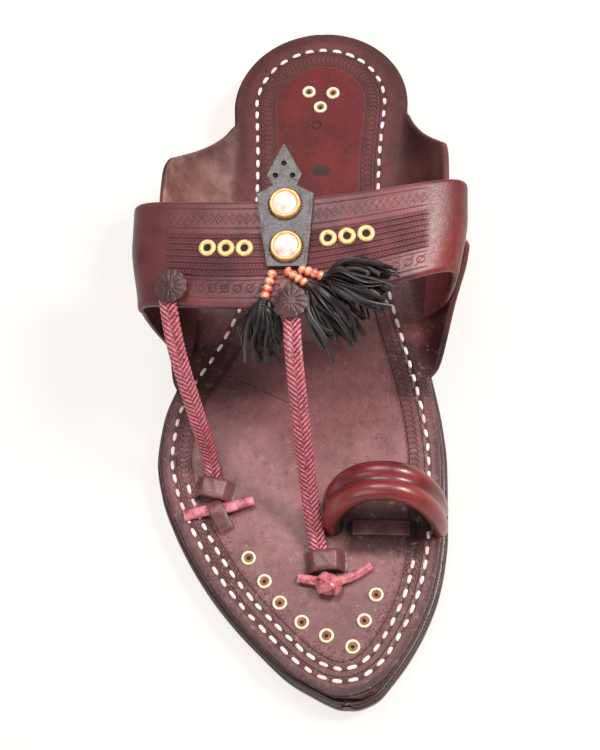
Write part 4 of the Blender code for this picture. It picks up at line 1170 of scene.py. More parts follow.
def heel_piece():
    """The stacked heel, with a groove round its side between the two lifts."""
    at, _, last = edges(0.5, 0.5)
    ys = -HEEL_BREAST + (last + HEEL_BREAST) * np.sin(np.linspace(0, math.pi / 2, 44))
    rings = []
    for z, inset in HEEL_LEVELS:
        pull = 1 - inset / HEEL_RADIUS
        lateral, medial = ([(at(y)[side] * pull, y * pull, z) for y in ys] for side in (0, 1))
        rings.append(lateral + medial[::-1])
    ringed_piece("heel_block", rings, DARK_EDGE, "edge_leather", "heel")


heel_piece()


# Insole and flaps

STITCH_IN_TOE = RIM_AT_TOE + 4.2
STITCH_IN_HEEL = RIM_AT_HEEL + 8.3
SECOND_ROW = 4.5
SECOND_ROW_MEDIAL = 51.3
SECOND_ROW_LATERAL = 97.2
STITCH_PITCH = 5.75
SECOND_PITCH = 5.4
STITCH_LENGTH = 3.8
STITCH_WIDTH = 1.4
STITCH_LIFT = 0.25
# The stitching's rounded toe: length that it replaces, how far it reaches to the tip, shift in X
TIP_ROUND = 15.0
TIP_FULLNESS = 1.55
TIP_SHIFT = -3.5


def with_lengths(x, y):
    """A line's points, without those closer than a quarter millimetre, and its length at each."""
    keep = [0]
    for i in range(1, len(x)):
        if math.hypot(x[i] - x[keep[-1]], y[i] - y[keep[-1]]) > 0.25:
            keep.append(i)
    x = x[keep]
    y = y[keep]
    steps = np.hypot(np.diff(x), np.diff(y))
    return x, y, np.concatenate([[0], np.cumsum(steps)])


def closed_line(toe_inset, heel_inset):
    """A closed line inside the sole's edge, from its rounded toe round the medial side."""
    mx, my = inset_curve(1, toe_inset, heel_inset)
    lx, ly = inset_curve(-1, toe_inset, heel_inset)
    x, y, run = with_lengths(np.concatenate([mx, lx[::-1]]), np.concatenate([my, ly[::-1]]))
    inner = (run > TIP_ROUND) & (run < run[-1] - TIP_ROUND)
    x1, y1 = x[inner], y[inner]
    corner = np.array((x[0], y[0]))
    middle = np.array((x1[0] + x1[-1], y1[0] + y1[-1])) / 2
    pull = middle + (corner - middle) * TIP_FULLNESS + np.array((TIP_SHIFT, 0.0))
    t = np.linspace(0, 1, 61)
    line = []
    for values, pulled in ((x1, pull[0]), (y1, pull[1])):
        bend = (1 - t) ** 2 * values[-1] + 2 * t * (1 - t) * pulled + t**2 * values[0]
        line.append(np.concatenate([bend[30:], values, bend[:31]]))
    return with_lengths(*line)


def inner_line(line, inwards):
    """A line at one distance inside another, without the loop at the toe."""
    px, py, _ = line
    dx = np.gradient(px)
    dy = np.gradient(py)
    size = np.hypot(dx, dy)
    x = px - dy / size * inwards
    y = py + dx / size * inwards
    clear = line_lengths(np.stack([x, y], axis=1))[:, 1] > inwards - 0.1
    return with_lengths(x[clear], y[clear])


stitch_line = closed_line(STITCH_IN_TOE, STITCH_IN_HEEL)


def line_lengths(points):
    """Length along the stitching and distance inwards from it, for each point."""
    px, py, run = stitch_line
    points = np.asarray(points, float)[:, :2]
    made = np.zeros((len(points), 2))
    ax, ay = px[:-1], py[:-1]
    dx, dy = np.diff(px), np.diff(py)
    size = np.hypot(dx, dy)
    for start in range(0, len(points), 4000):
        part = points[start:start + 4000]
        rx = part[:, :1] - ax
        ry = part[:, 1:] - ay
        t = np.clip((rx * dx + ry * dy) / size**2, 0, 1)
        gap = np.hypot(rx - t * dx, ry - t * dy)
        best = gap.argmin(axis=1)
        row = np.arange(len(part))
        cross = dx[best] * ry[row, best] - dy[best] * rx[row, best]
        made[start:start + 4000, 0] = run[best] + t[row, best] * size[best]
        made[start:start + 4000, 1] = gap[row, best] * np.sign(cross)
    return made


def stations(first, last, count):
    """Places from the first to the last, closer together at both ends."""
    shares = (1 - np.cos(np.linspace(0, math.pi, count))) / 2
    return first + (last - first) * (0.6 * shares + 0.4 * np.linspace(0, 1, count))


# The flap's rounded rim: reach beyond it and depth below its face, in shares of its thickness
RIM_ROUND = ((0.30, 0.12), (0.42, 0.34))


def insole_piece():
    """The insole with both flaps: softly uneven, its rims rounded, slit for the band's tabs."""
    flap = np.linspace(0, 1, 16)
    middle = np.linspace(0, 1, 50)[1:-1]
    ys = stations(insole_first, insole_last, 300)
    upper = []
    lower = []
    for y in ys:
        sides = []
        for side in (-1, 1):
            top_part = []
            low_part = []
            for t in flap:
                thick = INSOLE_T + (EAR_T - INSOLE_T) * min(1.0, t * 2)
                for part, off in ((top_part, 0.0), (low_part, thick)):
                    x, z = ear_point(side, y, t, off)
                    part.append((x, y, z))
            for beyond, off in RIM_ROUND:
                for part, depth in ((top_part, off * EAR_T), (low_part, (1 - off) * thick)):
                    x, z = ear_point(side, y, 1.0, depth, beyond * EAR_T)
                    part.append((x, y, z))
            sides.append((top_part, low_part))
        for made, lateral, medial in zip((upper, lower), *sides):
            a = np.array(lateral[0])
            b = np.array(medial[0])
            made.append(lateral[::-1] + [tuple(a + (b - a) * t) for t in middle] + medial)
    upper = np.array(upper)
    lower = np.array(lower)
    uneven = 0.22 * wave(3, upper[:, :, 0] / 16, upper[:, :, 1] / 16)
    flat = np.clip((upper[:, :, 2] - insole_top(upper[:, :, 1])) / 3.0, 0, 1)
    upper[:, :, 2] += (uneven - 0.1) * (1 - flat)
    reach = len(flap) + len(RIM_ROUND)
    missing = []
    for side in (-1, 1):
        y0 = band_y(side * BAND_HALF_SPAN, SLOT_TO) - 0.4
        y1 = band_y(side * BAND_HALF_SPAN, 1.0) + 0.4
        for r, y in enumerate(ys[:-1]):
            if y < y0 or y > y1:
                continue
            for k, t in enumerate(flap[:-1]):
                if 0.46 < t < 0.72:
                    missing.append((r, reach - k - 4 if side < 0 else upper.shape[1] - reach + k))
    points, faces, used = shell_parts(upper, lower, missing)
    lengths = line_lengths(upper.reshape(-1, 3))
    lengths = np.concatenate([lengths, lengths])[used]
    add_piece("insole_leather", points, faces, INSOLE, "oxblood_leather", "insole", lengths=lengths, sharp=60)


insole_piece()


def stitches(name, line, first, last, pitch):
    """A row of white stitches along part of a closed line."""
    px, py, run = line
    made = Joined()
    draw = np.random.RandomState(5)
    count = round((last - first) / pitch)
    pitch = (last - first) / count
    around = 8
    rows = 7
    for k in range(count):
        middle = first + (k + 0.5) * pitch + draw.uniform(-0.15, 0.15)
        long = STITCH_LENGTH * draw.uniform(0.86, 1.1)
        skew = draw.uniform(-0.12, 0.12)
        points = []
        marks = []
        for i in range(rows):
            share = i / (rows - 1) * 2 - 1
            at = middle + share * long / 2
            x = np.interp(at, run, px)
            y = np.interp(at, run, py)
            tx = np.interp(at + 0.5, run, px) - np.interp(at - 0.5, run, px)
            ty = np.interp(at + 0.5, run, py) - np.interp(at - 0.5, run, py)
            size = math.hypot(tx, ty)
            nx, ny = -ty / size, tx / size
            fat = math.sqrt(max(0.05, 1 - share**4))
            z = float(insole_top(y)) + STITCH_LIFT - 0.5 * share**4
            for j in range(around):
                bend = 2 * math.pi * j / around
                a = STITCH_WIDTH / 2 * fat * math.cos(bend) + skew * share * STITCH_WIDTH
                b = STITCH_WIDTH * 0.36 * fat * math.sin(bend)
                points.append((x + nx * a, y + ny * a, z + b))
                marks.append((at, j / around))
        made.add(points, tube_faces(rows, around), marks)
    made.piece(name, THREAD, "oxblood_leather")


stitches("stitches", stitch_line, 0.0, stitch_line[2][-1], STITCH_PITCH)
second_line = inner_line(stitch_line, SECOND_ROW)
second_total = second_line[2][-1]
stitches("second_stitches_medial", second_line, 0.0, SECOND_ROW_MEDIAL, SECOND_PITCH)
stitches("second_stitches_lateral", second_line, second_total - SECOND_ROW_LATERAL, second_total,
         SECOND_PITCH)


# Instep band

def band_piece():
    """The band: tooled outside, its edges rounded, open where the flap passes through it."""
    shares = np.unique([
        0.0, 0.006, 0.02, 0.04, *np.linspace(0.06, 0.94, 62), 0.96, 0.98, 0.994, 1.0, SLOT_FROM, SLOT_TO,
    ])
    upper = []
    lower = []
    lengths = []
    for share in shares:
        rows = band_profile(share)
        x, y, z, thick = (np.array(column) for column in zip(*rows))
        edge = min(share, 1 - share) * BAND_WIDTH
        half = thick / 2 * math.sqrt(1 - max(0.0, 1 - edge / 1.4) ** 2 * 0.85)
        dx = np.gradient(x)
        dz = np.gradient(z)
        size = np.hypot(dx, dz)
        run = np.concatenate([[0], np.cumsum(np.hypot(np.diff(x), np.diff(z)))])
        top = slice(len(x) // 4, -len(x) // 4)
        run = run - np.interp(0.0, x[top], run[top])
        upper.append(np.stack([x - dz / size * half, y, z + dx / size * half], axis=1))
        lower.append(np.stack([x + dz / size * half, y, z - dx / size * half], axis=1))
        lengths.append(np.stack([run, np.full(len(x), share * BAND_WIDTH)], axis=1))
    depth = len(FINE_TAB)
    last = upper[0].shape[0] - 2
    missing = []
    for r, share in enumerate(shares[:-1]):
        if SLOT_FROM - 1e-6 <= share < SLOT_TO - 1e-6:
            missing += [(r, c) for c in range(depth)] + [(r, last - c) for c in range(depth)]
    points, faces, used = shell_parts(upper, lower, missing)
    flat = np.concatenate([np.array(lengths).reshape(-1, 2)] * 2)[used]
    add_piece("band", points, faces, BAND, "oxblood_leather", "upper", lengths=flat, sharp=60)


band_piece()


# Braids

def braid_route(x_band, bends, landing):
    """A braid's points from its seat on the band, over its bends, down to the insole."""
    start, _ = band_surface(x_band, BRAID_START, BRAID_SEAT)
    edge, _ = band_surface(x_band, 0.0, BRAID_SEAT)
    free = [Vector((x, from_toe(from_tip), z)) for x, from_tip, z in bends]
    return [start, edge] + free + [on_insole(*row) for row in landing]


def braid_piece(name, x_band, bends, landing):
    """Flat strips braided into chevrons that point to the toe, on both faces of the strap."""
    spacing = 0.5
    path = curve_through(braid_route(x_band, bends, landing), spacing)
    frames = frames_along(path, band_surface(x_band, 0.0)[1], round(14 * BRAID_PITCH / 2 / spacing))
    length = (len(path) - 1) * spacing
    made = Joined()

    def at(run, a, b):
        run = min(max(run, 0.0), length - 0.01)
        i = min(int(run / spacing), len(path) - 2)
        side, up = frames[i]
        return path[i].lerp(path[i + 1], run / spacing - i) + side * a + up * b

    half = BRAID_WIDTH / 2 * 1.05
    core = half * 0.8
    section = ((-core, 0.5), (core, 0.5), (core, -0.9), (-core, -0.9))
    made.add(*swept(path[::4], frames[::4], section))
    strand = STRAND_PITCH * 0.62 * 0.86
    rows = 7
    columns = 5
    size = rows * columns
    border = [i * columns for i in range(rows)]
    border += [(rows - 1) * columns + j for j in range(1, columns)]
    border += [i * columns + columns - 1 for i in range(rows - 2, -1, -1)]
    border += [j for j in range(columns - 2, 0, -1)]
    faces = []
    for i in range(rows - 1):
        for j in range(columns - 1):
            q = i * columns + j
            quad = (q, q + 1, q + columns + 1, q + columns)
            faces += [quad, tuple(v + size for v in quad[::-1])]
    for p, q in zip(border, border[1:] + border[:1]):
        faces.append((q, p, p + size, q + size))
    turned = [quad[::-1] for quad in faces]
    for face in (1, -1):
        for hand in (-1, 1):
            for k in range(int(length / STRAND_PITCH)):
                start = (k + (0.5 if hand > 0 else 0.0)) * STRAND_PITCH - 1.2
                points = []
                marks = []
                for level in (0, 1):
                    for i in range(rows):
                        t = i / (rows - 1)
                        a = half * (1.0 - t * 1.14)
                        along = start + t * half * 1.05
                        edge_drop = max(0.0, 0.35 - t) / 0.35
                        tuck = max(0.0, t - 0.78) / 0.22
                        base = 1.25 - edge_drop**2 * 1.0 - tuck**2 * 0.7
                        for j in range(columns):
                            s = j / (columns - 1) * 2 - 1
                            h = base + 0.4 * (1 - s * s) if level == 0 else base - 0.7
                            rise = face * h - (0.2 if face < 0 else 0.0)
                            points.append(at(along + s * strand, hand * a, rise))
                            marks.append((s, t))
                made.add(points, turned if hand * face > 0 else faces, marks)
    made.piece(name, BRAID, "crimson_leather", "upper")


braid_piece("centre_braid", CENTRE_BRAID_X, CENTRE_BRAID_BENDS, CENTRE_BRAID_LANDING)
braid_piece("lateral_braid", LATERAL_BRAID_X, LATERAL_BRAID_BENDS, LATERAL_BRAID_LANDING)


# Keepers, toggle and knot

def keeper_piece(name, x, from_tip, turn):
    """A strip of insole leather raised over the end of a braid."""
    centre = on_insole(x, from_tip, 0.0)
    turned = math.radians(turn)
    upper = []
    lower = []
    for along in np.linspace(-1, 1, 15):
        top_row = []
        low_row = []
        for share in np.linspace(-1, 1, 49):
            wide = KEEPER_WIDTH / 2 * (1 + 0.10 * abs(share) ** 3)
            across = share * KEEPER_SPAN / 2
            px = centre.x + across * math.cos(turned) - along * wide * math.sin(turned)
            py = centre.y + across * math.sin(turned) + along * wide * math.cos(turned)
            slope = (1 - KEEPER_FOOT - abs(share)) / (1 - KEEPER_FOOT - KEEPER_FLAT)
            rise = KEEPER_RISE * float(smoothstep(slope)) + 0.35 * math.cos(share * math.pi / 2) ** 2
            rise += 0.12 * math.sin(share * 9 + along * 2.5)
            base = float(insole_top(py)) + 0.02
            fade = KEEPER_T * (0.1 + 0.9 * float(smoothstep((1 - abs(share)) / 0.34)))
            rounding = math.sqrt(max(0.0, 1 - max(0.0, abs(along) - 0.55) ** 2 / 0.2025 * 0.95))
            low_row.append((px, py, base + rise + fade * (1 - rounding) * 0.2))
            top_row.append((px, py, base + rise + fade - fade * (1 - rounding) * 0.8))
        upper.append(top_row)
        lower.append(low_row)
    points, faces, _ = shell_parts(upper, lower)
    add_piece(name + "_leather", points, faces, KEEPER, "oxblood_leather", name, sharp=70)


keeper_piece("centre_keeper", CENTRE_KEEPER_X, CENTRE_KEEPER, CENTRE_KEEPER_TURN)
keeper_piece("lateral_keeper", LATERAL_KEEPER_X, LATERAL_KEEPER, LATERAL_KEEPER_TURN)


def strap_section(width, thick, corners=3):
    """Outline of a flat strip with round edges, as (sideways, upward) pairs."""
    made = []
    radius = min(thick / 2, width / 2)
    for side in (1, -1):
        for k in range(corners * 2 + 1):
            bend = math.pi / 2 - math.pi * k / (corners * 2)
            across = width / 2 - radius + radius * math.cos(bend)
            made.append((side * across, side * radius * math.sin(bend)))
    return made


def thong_parts(points, width, thick):
    """A flat thong along a smooth curve through the points."""
    path = curve_through(points, 0.8)
    return swept(path, frames_along(path), strap_section(width, thick))


def lying(rows, x=0.0, from_tip=0.0, rise=0.0):
    """A thong's route over the insole, moved by a place and a rise."""
    return [on_insole(x + a, from_tip + b, GAP + THONG_T / 2 + rise + c) for a, b, c in rows]


def toggle_pieces():
    """The crimson thong laid across and the braid's folded brown end over it."""
    for part, route, width, look in (
        ("thong", TOGGLE_ROUTE, THONG_WIDTH, CRIMSON),
        ("fold", FOLD_ROUTE, FOLD_WIDTH, FOLDED),
    ):
        parts = thong_parts(lying(route), width, THONG_T)
        single(parts, "lateral_toggle_" + part, look, "crimson_leather", "lateral_toggle")


toggle_pieces()


# Each wrap of the knot: its turn about the upright, its tilt, its distance off the middle
KNOT_WRAPS = ((35, 12, 1.5), (-55, -14, -1.1))
WRAP_WIDTH = 3.8
WRAP_T = 1.1


def knot_piece():
    """A round knot of a thong wrapped over itself, with two split tails."""
    made = Joined()
    centre = on_insole(KNOT_X, CENTRE_KEEPER - KNOT_AHEAD, GAP + KNOT_R * KNOT_FLATNESS)
    radii = (KNOT_R * 0.94, KNOT_R * 0.94, KNOT_R * KNOT_FLATNESS * 0.96)
    made.add(*ball_parts(centre, radii, LYING, 14, 24))
    for turn, tilt, off in KNOT_WRAPS:
        way = Vector((math.cos(math.radians(turn)), math.sin(math.radians(turn)), 0))
        cross = way.cross(UP)
        arc = []
        for k in range(15):
            a = math.pi * (-0.04 + 1.08 * k / 14)
            side = off * math.sin(a) + math.tan(math.radians(tilt)) * KNOT_R * math.cos(a)
            reach = math.sqrt(max(0.1, 1 - (side / KNOT_R) ** 2))
            arc.append(centre + way * (KNOT_R * reach * math.cos(a)) + cross * side
                       + UP * (KNOT_R * KNOT_FLATNESS * reach * math.sin(a)))
        path = curve_through(arc, 0.6)
        frames = []
        for i, p in enumerate(path):
            tangent = tangent_at(path, i)
            sideways = tangent.cross((p - centre).normalized()).normalized()
            frames.append((sideways, sideways.cross(tangent)))
        made.add(*swept(path, frames, strap_section(WRAP_WIDTH, WRAP_T)))
    for rows in (LATERAL_TAIL, MEDIAL_TAIL):
        route = lying(rows, KNOT_X, CENTRE_KEEPER - KNOT_AHEAD, 0.1)
        made.add(*thong_parts(route, THONG_WIDTH * 0.86, THONG_T))
        ridge = [p + UP * (THONG_T / 2) for p in route]
        made.add(*thong_parts(ridge, THONG_WIDTH * 0.3, 0.5))
    made.piece("centre_knot_thong", CRIMSON, "crimson_leather", "centre_knot")


knot_piece()


# Toe ring

def ring_piece():
    """Two glossy rolls side by side in an arch, their inner face painted dark as shadow."""
    foot_y = from_toe(RING_FROM_TOE)
    floor = float(insole_top(foot_y)) + 0.05
    steps = 72
    path = []
    for bend in np.linspace(-0.03, math.pi + 0.03, steps):
        across = abs(math.cos(bend)) ** (2 / RING_SQUARENESS)
        share = math.copysign(abs(math.sin(bend)) ** (2 / RING_SQUARENESS), math.sin(bend))
        path.append(Vector((
            RING_X + math.copysign(RING_HALF_SPAN * across, math.cos(bend)),
            foot_y + RING_LEAN * share * abs(share),
            floor + RING_HEIGHT * share,
        )))
    around = []
    turns = np.linspace(-40, 220, 17)
    for side in (1, -1):
        for turn in turns if side > 0 else turns[::-1]:
            around.append((side, math.radians(turn)))
    points = []
    lengths = []
    for i, centre in enumerate(path):
        tangent = tangent_at(path, i)
        width_way = (Vector((0, 1, 0)) - tangent * tangent.y).normalized()
        outward = width_way.cross(tangent)
        if outward.dot(centre - Vector((RING_X, centre.y, floor - 3))) < 0:
            outward = -outward
        for side, angle in around:
            across = side * (RING_ROLL_SPACING / 2 + RING_ROLL_R * math.sin(angle))
            points.append(centre + width_way * across + outward * RING_ROLL_R * math.cos(angle))
            lengths.append((across, RING_ROLL_R * math.cos(angle)))
    add_piece("toe_ring_rolls", points, tube_faces(steps, len(around)), RING_RED, "ring_leather", "toe_ring",
              lengths=lengths, sharp=60)


ring_piece()


def strip_piece():
    """The tongue of leather between the ring's feet, and beside it the two slots as flat discs painted dark
    as shade.
    """
    y = from_toe(RING_FROM_TOE) - STRIP_WIDTH / 2
    half = STRIP_HALF_SPAN
    base = float(insole_top(y)) + 0.75
    route = [Vector((STRIP_X + half * a, y, base + rise)) for a, rise in
             ((-0.92, -0.5), (-0.6, 0.1), (0.0, 0.35), (0.6, 0.1), (0.92, -0.5))]
    parts = thong_parts(route, STRIP_WIDTH * 0.72, STRIP_T)
    single(parts, "toe_ring_tongue", FOLDED, "ring_leather", "toe_ring_strip")
    holes = Joined()
    for side in (-1, 1):
        centre = Vector((STRIP_X + side * half * 0.98, y, base - 0.55))
        holes.add(*ball_parts(centre, (1.9, 2.7, 0.4), LYING, 6, 20))
    holes.piece("toe_ring_slots", HOLE_SHADE, "ring_leather")


strip_piece()


# Plate, studs and eyelets

def plate_half_width(along):
    return PLATE_WIDTH / 2 * float(np.interp(along, *zip(*PLATE_ROWS)))


def plate_point(across, along, lift):
    """A point above the band along the plate, whose tip stands out behind the rear edge."""
    share = 1.0 + PLATE_OVERHANG / BAND_WIDTH - along * PLATE_LENGTH / BAND_WIDTH
    top = BAND_FLOOR + BAND_TOP + (share - 1.0) * BAND_TILT
    x = PLATE_X - PLATE_SLANT * (PLATE_PIVOT - along) * PLATE_LENGTH
    return Vector((x + across, band_y(PLATE_X, share), top + GAP + lift))


PLATE_HOLES = ((-0.2, 0.155), (-3.3, 0.258), (2.9, 0.258))
PLATE_HOLE_R = 1.05
STUD_BEADS = 36
STUD_DOME = 1.25


def plate_piece():
    """The spear-shaped plate, with three punched holes in its head and twisted ridges on its sides."""
    alongs = np.unique(np.concatenate([np.linspace(0, 1, 60), [row[0] for row in PLATE_ROWS]]))
    flat = [Vector((-plate_half_width(along), along * PLATE_LENGTH)) for along in alongs]
    flat += [Vector((plate_half_width(along), along * PLATE_LENGTH)) for along in alongs[::-1]]
    holes = [Vector((x, along * PLATE_LENGTH)) for x, along in PLATE_HOLES]
    loops = [list(range(len(flat)))]
    for hole in holes:
        start = len(flat)
        for k in range(16):
            bend = -2 * math.pi * k / 16
            flat.append(hole + Vector((math.cos(bend), math.sin(bend))) * PLATE_HOLE_R)
        loops.append(list(range(start, start + 16)))
    for along in np.linspace(0.06, 0.96, 16):
        for x in np.linspace(-0.8, 0.8, 5) * plate_half_width(along):
            place = Vector((x, along * PLATE_LENGTH))
            if min((place - hole).length for hole in holes) > PLATE_HOLE_R * 1.5:
                flat.append(place)
    verts, _, tris, _, _, _ = delaunay_2d_cdt(flat, [], loops, 2, 1e-5)

    def solid(face):
        middle = sum((verts[i] for i in face), Vector((0, 0))) / 3
        return min((middle - hole).length for hole in holes) > PLATE_HOLE_R * 0.97

    tris = [tuple(face) for face in tris if solid(face)]
    count = len(verts)
    points = [plate_point(v.x, v.y / PLATE_LENGTH, PLATE_T + 0.1 * math.sin(v.y * 0.7)) for v in verts]
    points += [plate_point(v.x, v.y / PLATE_LENGTH, 0.0) for v in verts]
    borders = dict.fromkeys((face[i], face[(i + 1) % 3]) for face in tris for i in range(3))
    faces = tris + [tuple(i + count for i in face[::-1]) for face in tris]
    faces += [(b, a, a + count, b + count) for a, b in borders if (b, a) not in borders]
    add_piece("plate_leather", points, faces, SLATE, "slate_leather", "plate", sharp=35)
    # Flat discs in the punched holes, painted dark as the shade in them
    discs = Joined()
    for x, along in PLATE_HOLES:
        centre = plate_point(x, along, PLATE_T * 0.45)
        discs.add(*turned_parts(centre, UP, disc(PLATE_HOLE_R * 1.1, 0.1, 0.1), 16))
    discs.piece("plate_holes", HOLE_SHADE, "slate_leather")
    ridges = Joined()
    for side in (-1, 1):
        for along in np.arange(0.42, 0.99, 0.017):
            centre = plate_point(side * (plate_half_width(along) - 0.75), along, PLATE_T + 0.08)
            across = Vector((1, 0.35 * side, 0)).normalized()
            forward = Vector((-0.35 * side, 1, 0)).normalized()
            ridges.add(*ball_parts(centre, (0.32, 0.48, 0.3), (across, forward, UP), 5, 8))
    ridges.piece("plate_ridges", SLATE_LIGHT, "slate_leather")


plate_piece()


def round_profile(inner, outer, height):
    """A rolled rim from its inner to its outer radius."""
    middle = (inner + outer) / 2
    half = (outer - inner) / 2
    made = [(inner, 0.0), (outer, 0.0)]
    for k in range(1, 8):
        bend = math.pi * k / 8
        made.append((middle + half * math.cos(bend), height * (0.25 + 0.75 * math.sin(bend))))
    return made


def stud_pieces(name, along):
    """A plain and a beaded gold rim round a domed pearl stone."""
    centre = plate_point(0.0, along, PLATE_T + 0.12)
    axis = Vector((0, -BAND_TILT / BAND_WIDTH, 1)).normalized()
    inner = STUD_R - STUD_RIM
    rim = turned_parts(centre, axis, round_profile(inner - 0.15, STUD_R - 0.2, STUD_T), 48)
    single(rim, name + "_gold", GOLD, "gold", name + "_rim", sharp=60)
    beads = Joined()
    for spoke in spokes(axis, STUD_BEADS):
        place = centre + spoke * (STUD_R + 0.1) + axis * 0.3
        beads.add(*ball_parts(place, (0.42, 0.42, 0.4), (spoke, axis.cross(spoke), axis), 5, 8))
    beads.piece(name + "_beading", DARK_GOLD, "gold")
    profile = [(HUB, 0.1), (inner, 0.1)]
    for k in range(9):
        bend = math.pi / 2 * k / 8
        profile.append((max(HUB, inner * math.cos(bend)), STUD_T * 0.55 + STUD_DOME * math.sin(bend)))
    stone = turned_parts(centre, axis, profile, 40)
    single(stone, name + "_pearl", PEARL, "pearl", name + "_stone", sharp=60)


for label, along in STUD_PLACES:
    stud_pieces(label, along)


def eyelet_pieces(name, centre, axis, radius, look, inside, share):
    """A rolled ring, with the hole it lines, whose radius is a share of its own."""
    ring = turned_parts(centre, axis, round_profile(radius * share, radius, 0.9), 32)
    single(ring, name + "_ring", look, "gold", name, sharp=60)
    # A flat disc fills the hole; on the band it is painted dark as the shade in the hole, and elsewhere a
    # small core painted dark as shade sits in its middle
    hole = turned_parts(centre, axis, disc(radius * (share + 0.04), 0.16, 0.12), 20)
    single(hole, name + "_hole", inside, "oxblood_leather")
    if inside is HOLE:
        core = turned_parts(centre, axis, disc(radius * 0.26, 0.2, 0.22), 16)
        single(core, name + "_core", HOLE_SHADE, "oxblood_leather")


# The hole's share of the eyelet's radius
BAND_BORE = 0.42
TOE_BORE = 0.61
HEEL_BORE = 0.5
ON_LEATHER = 0.05
for number, (x, share) in enumerate(BAND_EYELETS, 1):
    place, normal = band_surface(x, share, ON_LEATHER)
    eyelet_pieces("band_eyelet_%d" % number, place, normal, BAND_EYELET_R, GOLD, HOLE_SHADE, BAND_BORE)
for number, (along, across) in enumerate(TOE_EYELETS, 1):
    y = from_toe(along * TOE_TO_HEEL_CENTRE)
    x0, x1 = insole_at(y)
    place = Vector((x0 + across * (x1 - x0), y, float(insole_top(y)) + ON_LEATHER))
    slope = float(insole_top(y + 1) - insole_top(y - 1)) / 2
    eyelet_pieces("toe_eyelet_%d" % number, place, (0, -slope, 1), EYELET_R, PALE_GOLD, HOLE, TOE_BORE)
for number, (x, y) in enumerate(HEEL_EYELETS, 1):
    place = Vector((x * HEEL_RADIUS, y * HEEL_RADIUS, float(insole_top(0.0)) + ON_LEATHER))
    eyelet_pieces("heel_eyelet_%d" % number, place, UP, EYELET_R, PALE_GOLD, HOLE, HEEL_BORE)


# Rosettes

def rosette_piece(name, x, share, radius):
    """A scalloped patch with stamped rays, bent down with the braid it covers."""
    centre, normal = band_surface(x, share, ROSETTE_LIFT)
    right = (Vector((1, 0, 0)) - normal * normal.x).normalized()
    back = normal.cross(right)
    around = ROSETTE_SCALLOPS * 10
    rings = 16

    def place(reach, k, height):
        bend = 2 * math.pi * k / around
        a = reach * math.cos(bend)
        b = reach * math.sin(bend)
        drop = ROSETTE_SAG * a * a + (ROSETTE_BEND * b * b if b < 0 else 0.0)
        return centre + right * a + back * b + normal * (height - drop)

    points = []
    for level in (0, 1):
        for i in range(rings + 1):
            out = 0.02 + 0.98 * i / rings
            for k in range(around):
                bend = 2 * math.pi * k / around
                scallop = abs(math.sin(bend * ROSETTE_SCALLOPS / 2))
                reach = radius * out * (1 + 0.09 * scallop * out**4 - 0.03)
                height = 0.0
                if level == 0:
                    cut = math.exp(-((out - 0.30) / 0.05) ** 2) + math.exp(-((out - 0.84) / 0.035) ** 2)
                    height = ROSETTE_T * (1 - 0.25 * out**6)
                    height -= 0.28 * (1 - scallop**0.6) * (0.34 < out < 0.97) + 0.25 * cut
                points.append(place(reach, k, height))
    faces = []
    size = (rings + 1) * around
    for i in range(rings):
        for k in range(around):
            a = i * around + k
            b = i * around + (k + 1) % around
            faces.append((a, a + around, b + around, b))
            faces.append((a + size, b + size, b + around + size, a + around + size))
    for k in range(around):
        a = rings * around + k
        b = rings * around + (k + 1) % around
        faces.append((a, a + size, b + size, b))
    faces.append(tuple(range(around)))
    faces.append(tuple(range(size + around - 1, size - 1, -1)))
    add_piece(name + "_patch", points, faces, ROSETTE, "oxblood_leather", name, sharp=60)


rosette_piece("centre_rosette", CENTRE_BRAID_X, CENTRE_ROSETTE_SHARE, CENTRE_ROSETTE_R)
rosette_piece("lateral_rosette", LATERAL_ROSETTE_X, LATERAL_ROSETTE_SHARE, LATERAL_ROSETTE_R)


# Beads and tassels

# How far each string starts under the plate's edge, as a share of the band's width
BEADS_UNDER_PLATE = 0.03


def bead_piece(number, start, end):
    """A short string of round beads lying on the band."""
    lift = BEAD_R * 0.9
    a, normal_a = band_surface(start[0], start[1] + BEADS_UNDER_PLATE, lift)
    b, normal_b = band_surface(*end, lift)
    way = (b - a).normalized()
    up = (normal_a + normal_b).normalized()
    side = way.cross(up).normalized()
    up = side.cross(way)
    length = (b - a).length
    count = max(2, round(length / (BEAD_R * 1.7)))
    made = Joined()
    for i in range(count):
        centre = a + way * length * (i + 0.5) / count
        radii = (BEAD_R * 1.25, BEAD_R * 1.2, length / count * 0.58)
        made.add(*ball_parts(centre, radii, (side, up, way), 8, 14))
    made.piece("bead_string_%d_beads" % number, BEAD, "bead_copper", "bead_string_%d" % number)
    return b + way * 0.2, way


# Profile of one turn of the binding round a tassel's tie
BINDING = [(1.4, 0.0), (1.9, 0.1), (2.0, 0.35), (1.9, 0.6), (1.4, 0.7)]
STRIP_THICK = 0.6
# Each tassel: number of strips, their length, the way they hang and the fan's spread
TASSELS = (
    (40, 25.0, (-0.10, -0.62, -0.72), 0.38),
    (44, 26.0, (0.62, -0.66, -0.38), 0.42),
    (48, 25.0, (0.96, -0.20, 0.02), 0.50),
)


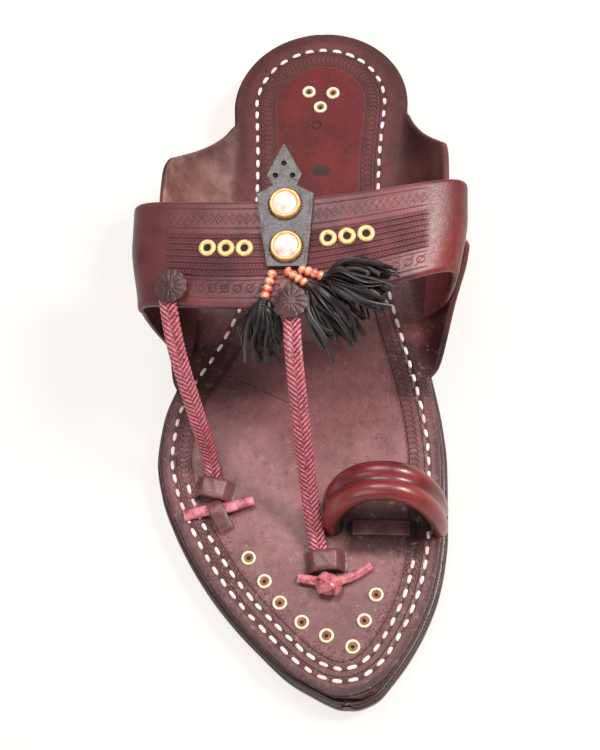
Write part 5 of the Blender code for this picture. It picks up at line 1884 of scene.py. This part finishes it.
def tassel_piece(number, tie, way, count, length, aim_at, fan):
    """Flat strips of black leather tied at one end, every third one looped back to it."""
    draw = np.random.RandomState(40 + number)
    made = Joined()
    goal = Vector(aim_at).normalized()
    side = goal.cross(UP).normalized()
    over = side.cross(goal).normalized()
    for k in range(count):
        turn = 2 * math.pi * k / count + draw.uniform(-0.4, 0.4)
        reach = draw.uniform(0.1, 1.0)
        long = length * draw.uniform(0.66, 1.05)
        fanned = reach * fan * long
        spread = side * (math.cos(turn) * fanned) + over * (math.sin(turn) * fanned * 0.4)
        root = side * math.cos(turn) * 1.0 + over * math.sin(turn) * 0.8
        bulge = over * draw.uniform(0.5, 3.6)
        wobble = side * draw.uniform(-2.2, 2.2)
        route = [
            tie + root * 0.4,
            tie + way * 1.6 + root * 1.5 + over * 0.4,
            tie + goal * long * 0.3 + root * 1.8 + spread * 0.5 + bulge,
            tie + goal * long * 0.68 + spread * 0.85 + bulge * 0.7 + wobble,
            tie + goal * long + spread - over * draw.uniform(0.0, 2.5) - wobble * 0.4,
        ]
        if k % 3 == 0:
            back = spread * 1.15 + side * draw.uniform(-2.5, 2.5)
            route[-1] = tie + goal * long * 0.86 + spread * 1.05 + over * draw.uniform(-1.0, 1.5)
            route.append(tie + goal * long * 0.6 + back + over * 1.5)
            route.append(tie + goal * long * 0.3 + back * 0.7 + over * 1.0)
        wide = draw.uniform(1.5, 2.2)
        first_up = (over * math.cos(turn * 1.7) + side * math.sin(turn * 1.7)).normalized()
        path = curve_through(route, 1.2)
        made.add(*swept(path, frames_along(path, first_up, 60), strap_section(wide, STRIP_THICK, 1)))
    for i in range(4):
        centre = tie + way * (0.1 + i * 0.7)
        made.add(*turned_parts(centre, way, BINDING, 18))
    made.piece("tassel_%d_strips" % number, BLACK, "black_leather", "tassel_%d" % number)


for number, ((start, end), tassel) in enumerate(zip(BEAD_STRINGS, TASSELS), 1):
    tie, way = bead_piece(number, start, end)
    tassel_piece(number, tie, way, *tassel)


# Floor

FLOOR_HALF = 6.0
corners = [(x * FLOOR_HALF, y * FLOOR_HALF, 0) for x, y in ((-1, -1), (1, -1), (1, 1), (-1, 1))]
floor_mesh = bpy.data.meshes.new("floor")
floor_mesh.from_pydata(corners, [], [(0, 1, 2, 3)])
floor_mesh.materials.append(floor_look())
floor = new_object("floor", floor_mesh)

bpy.context.view_layer.update()
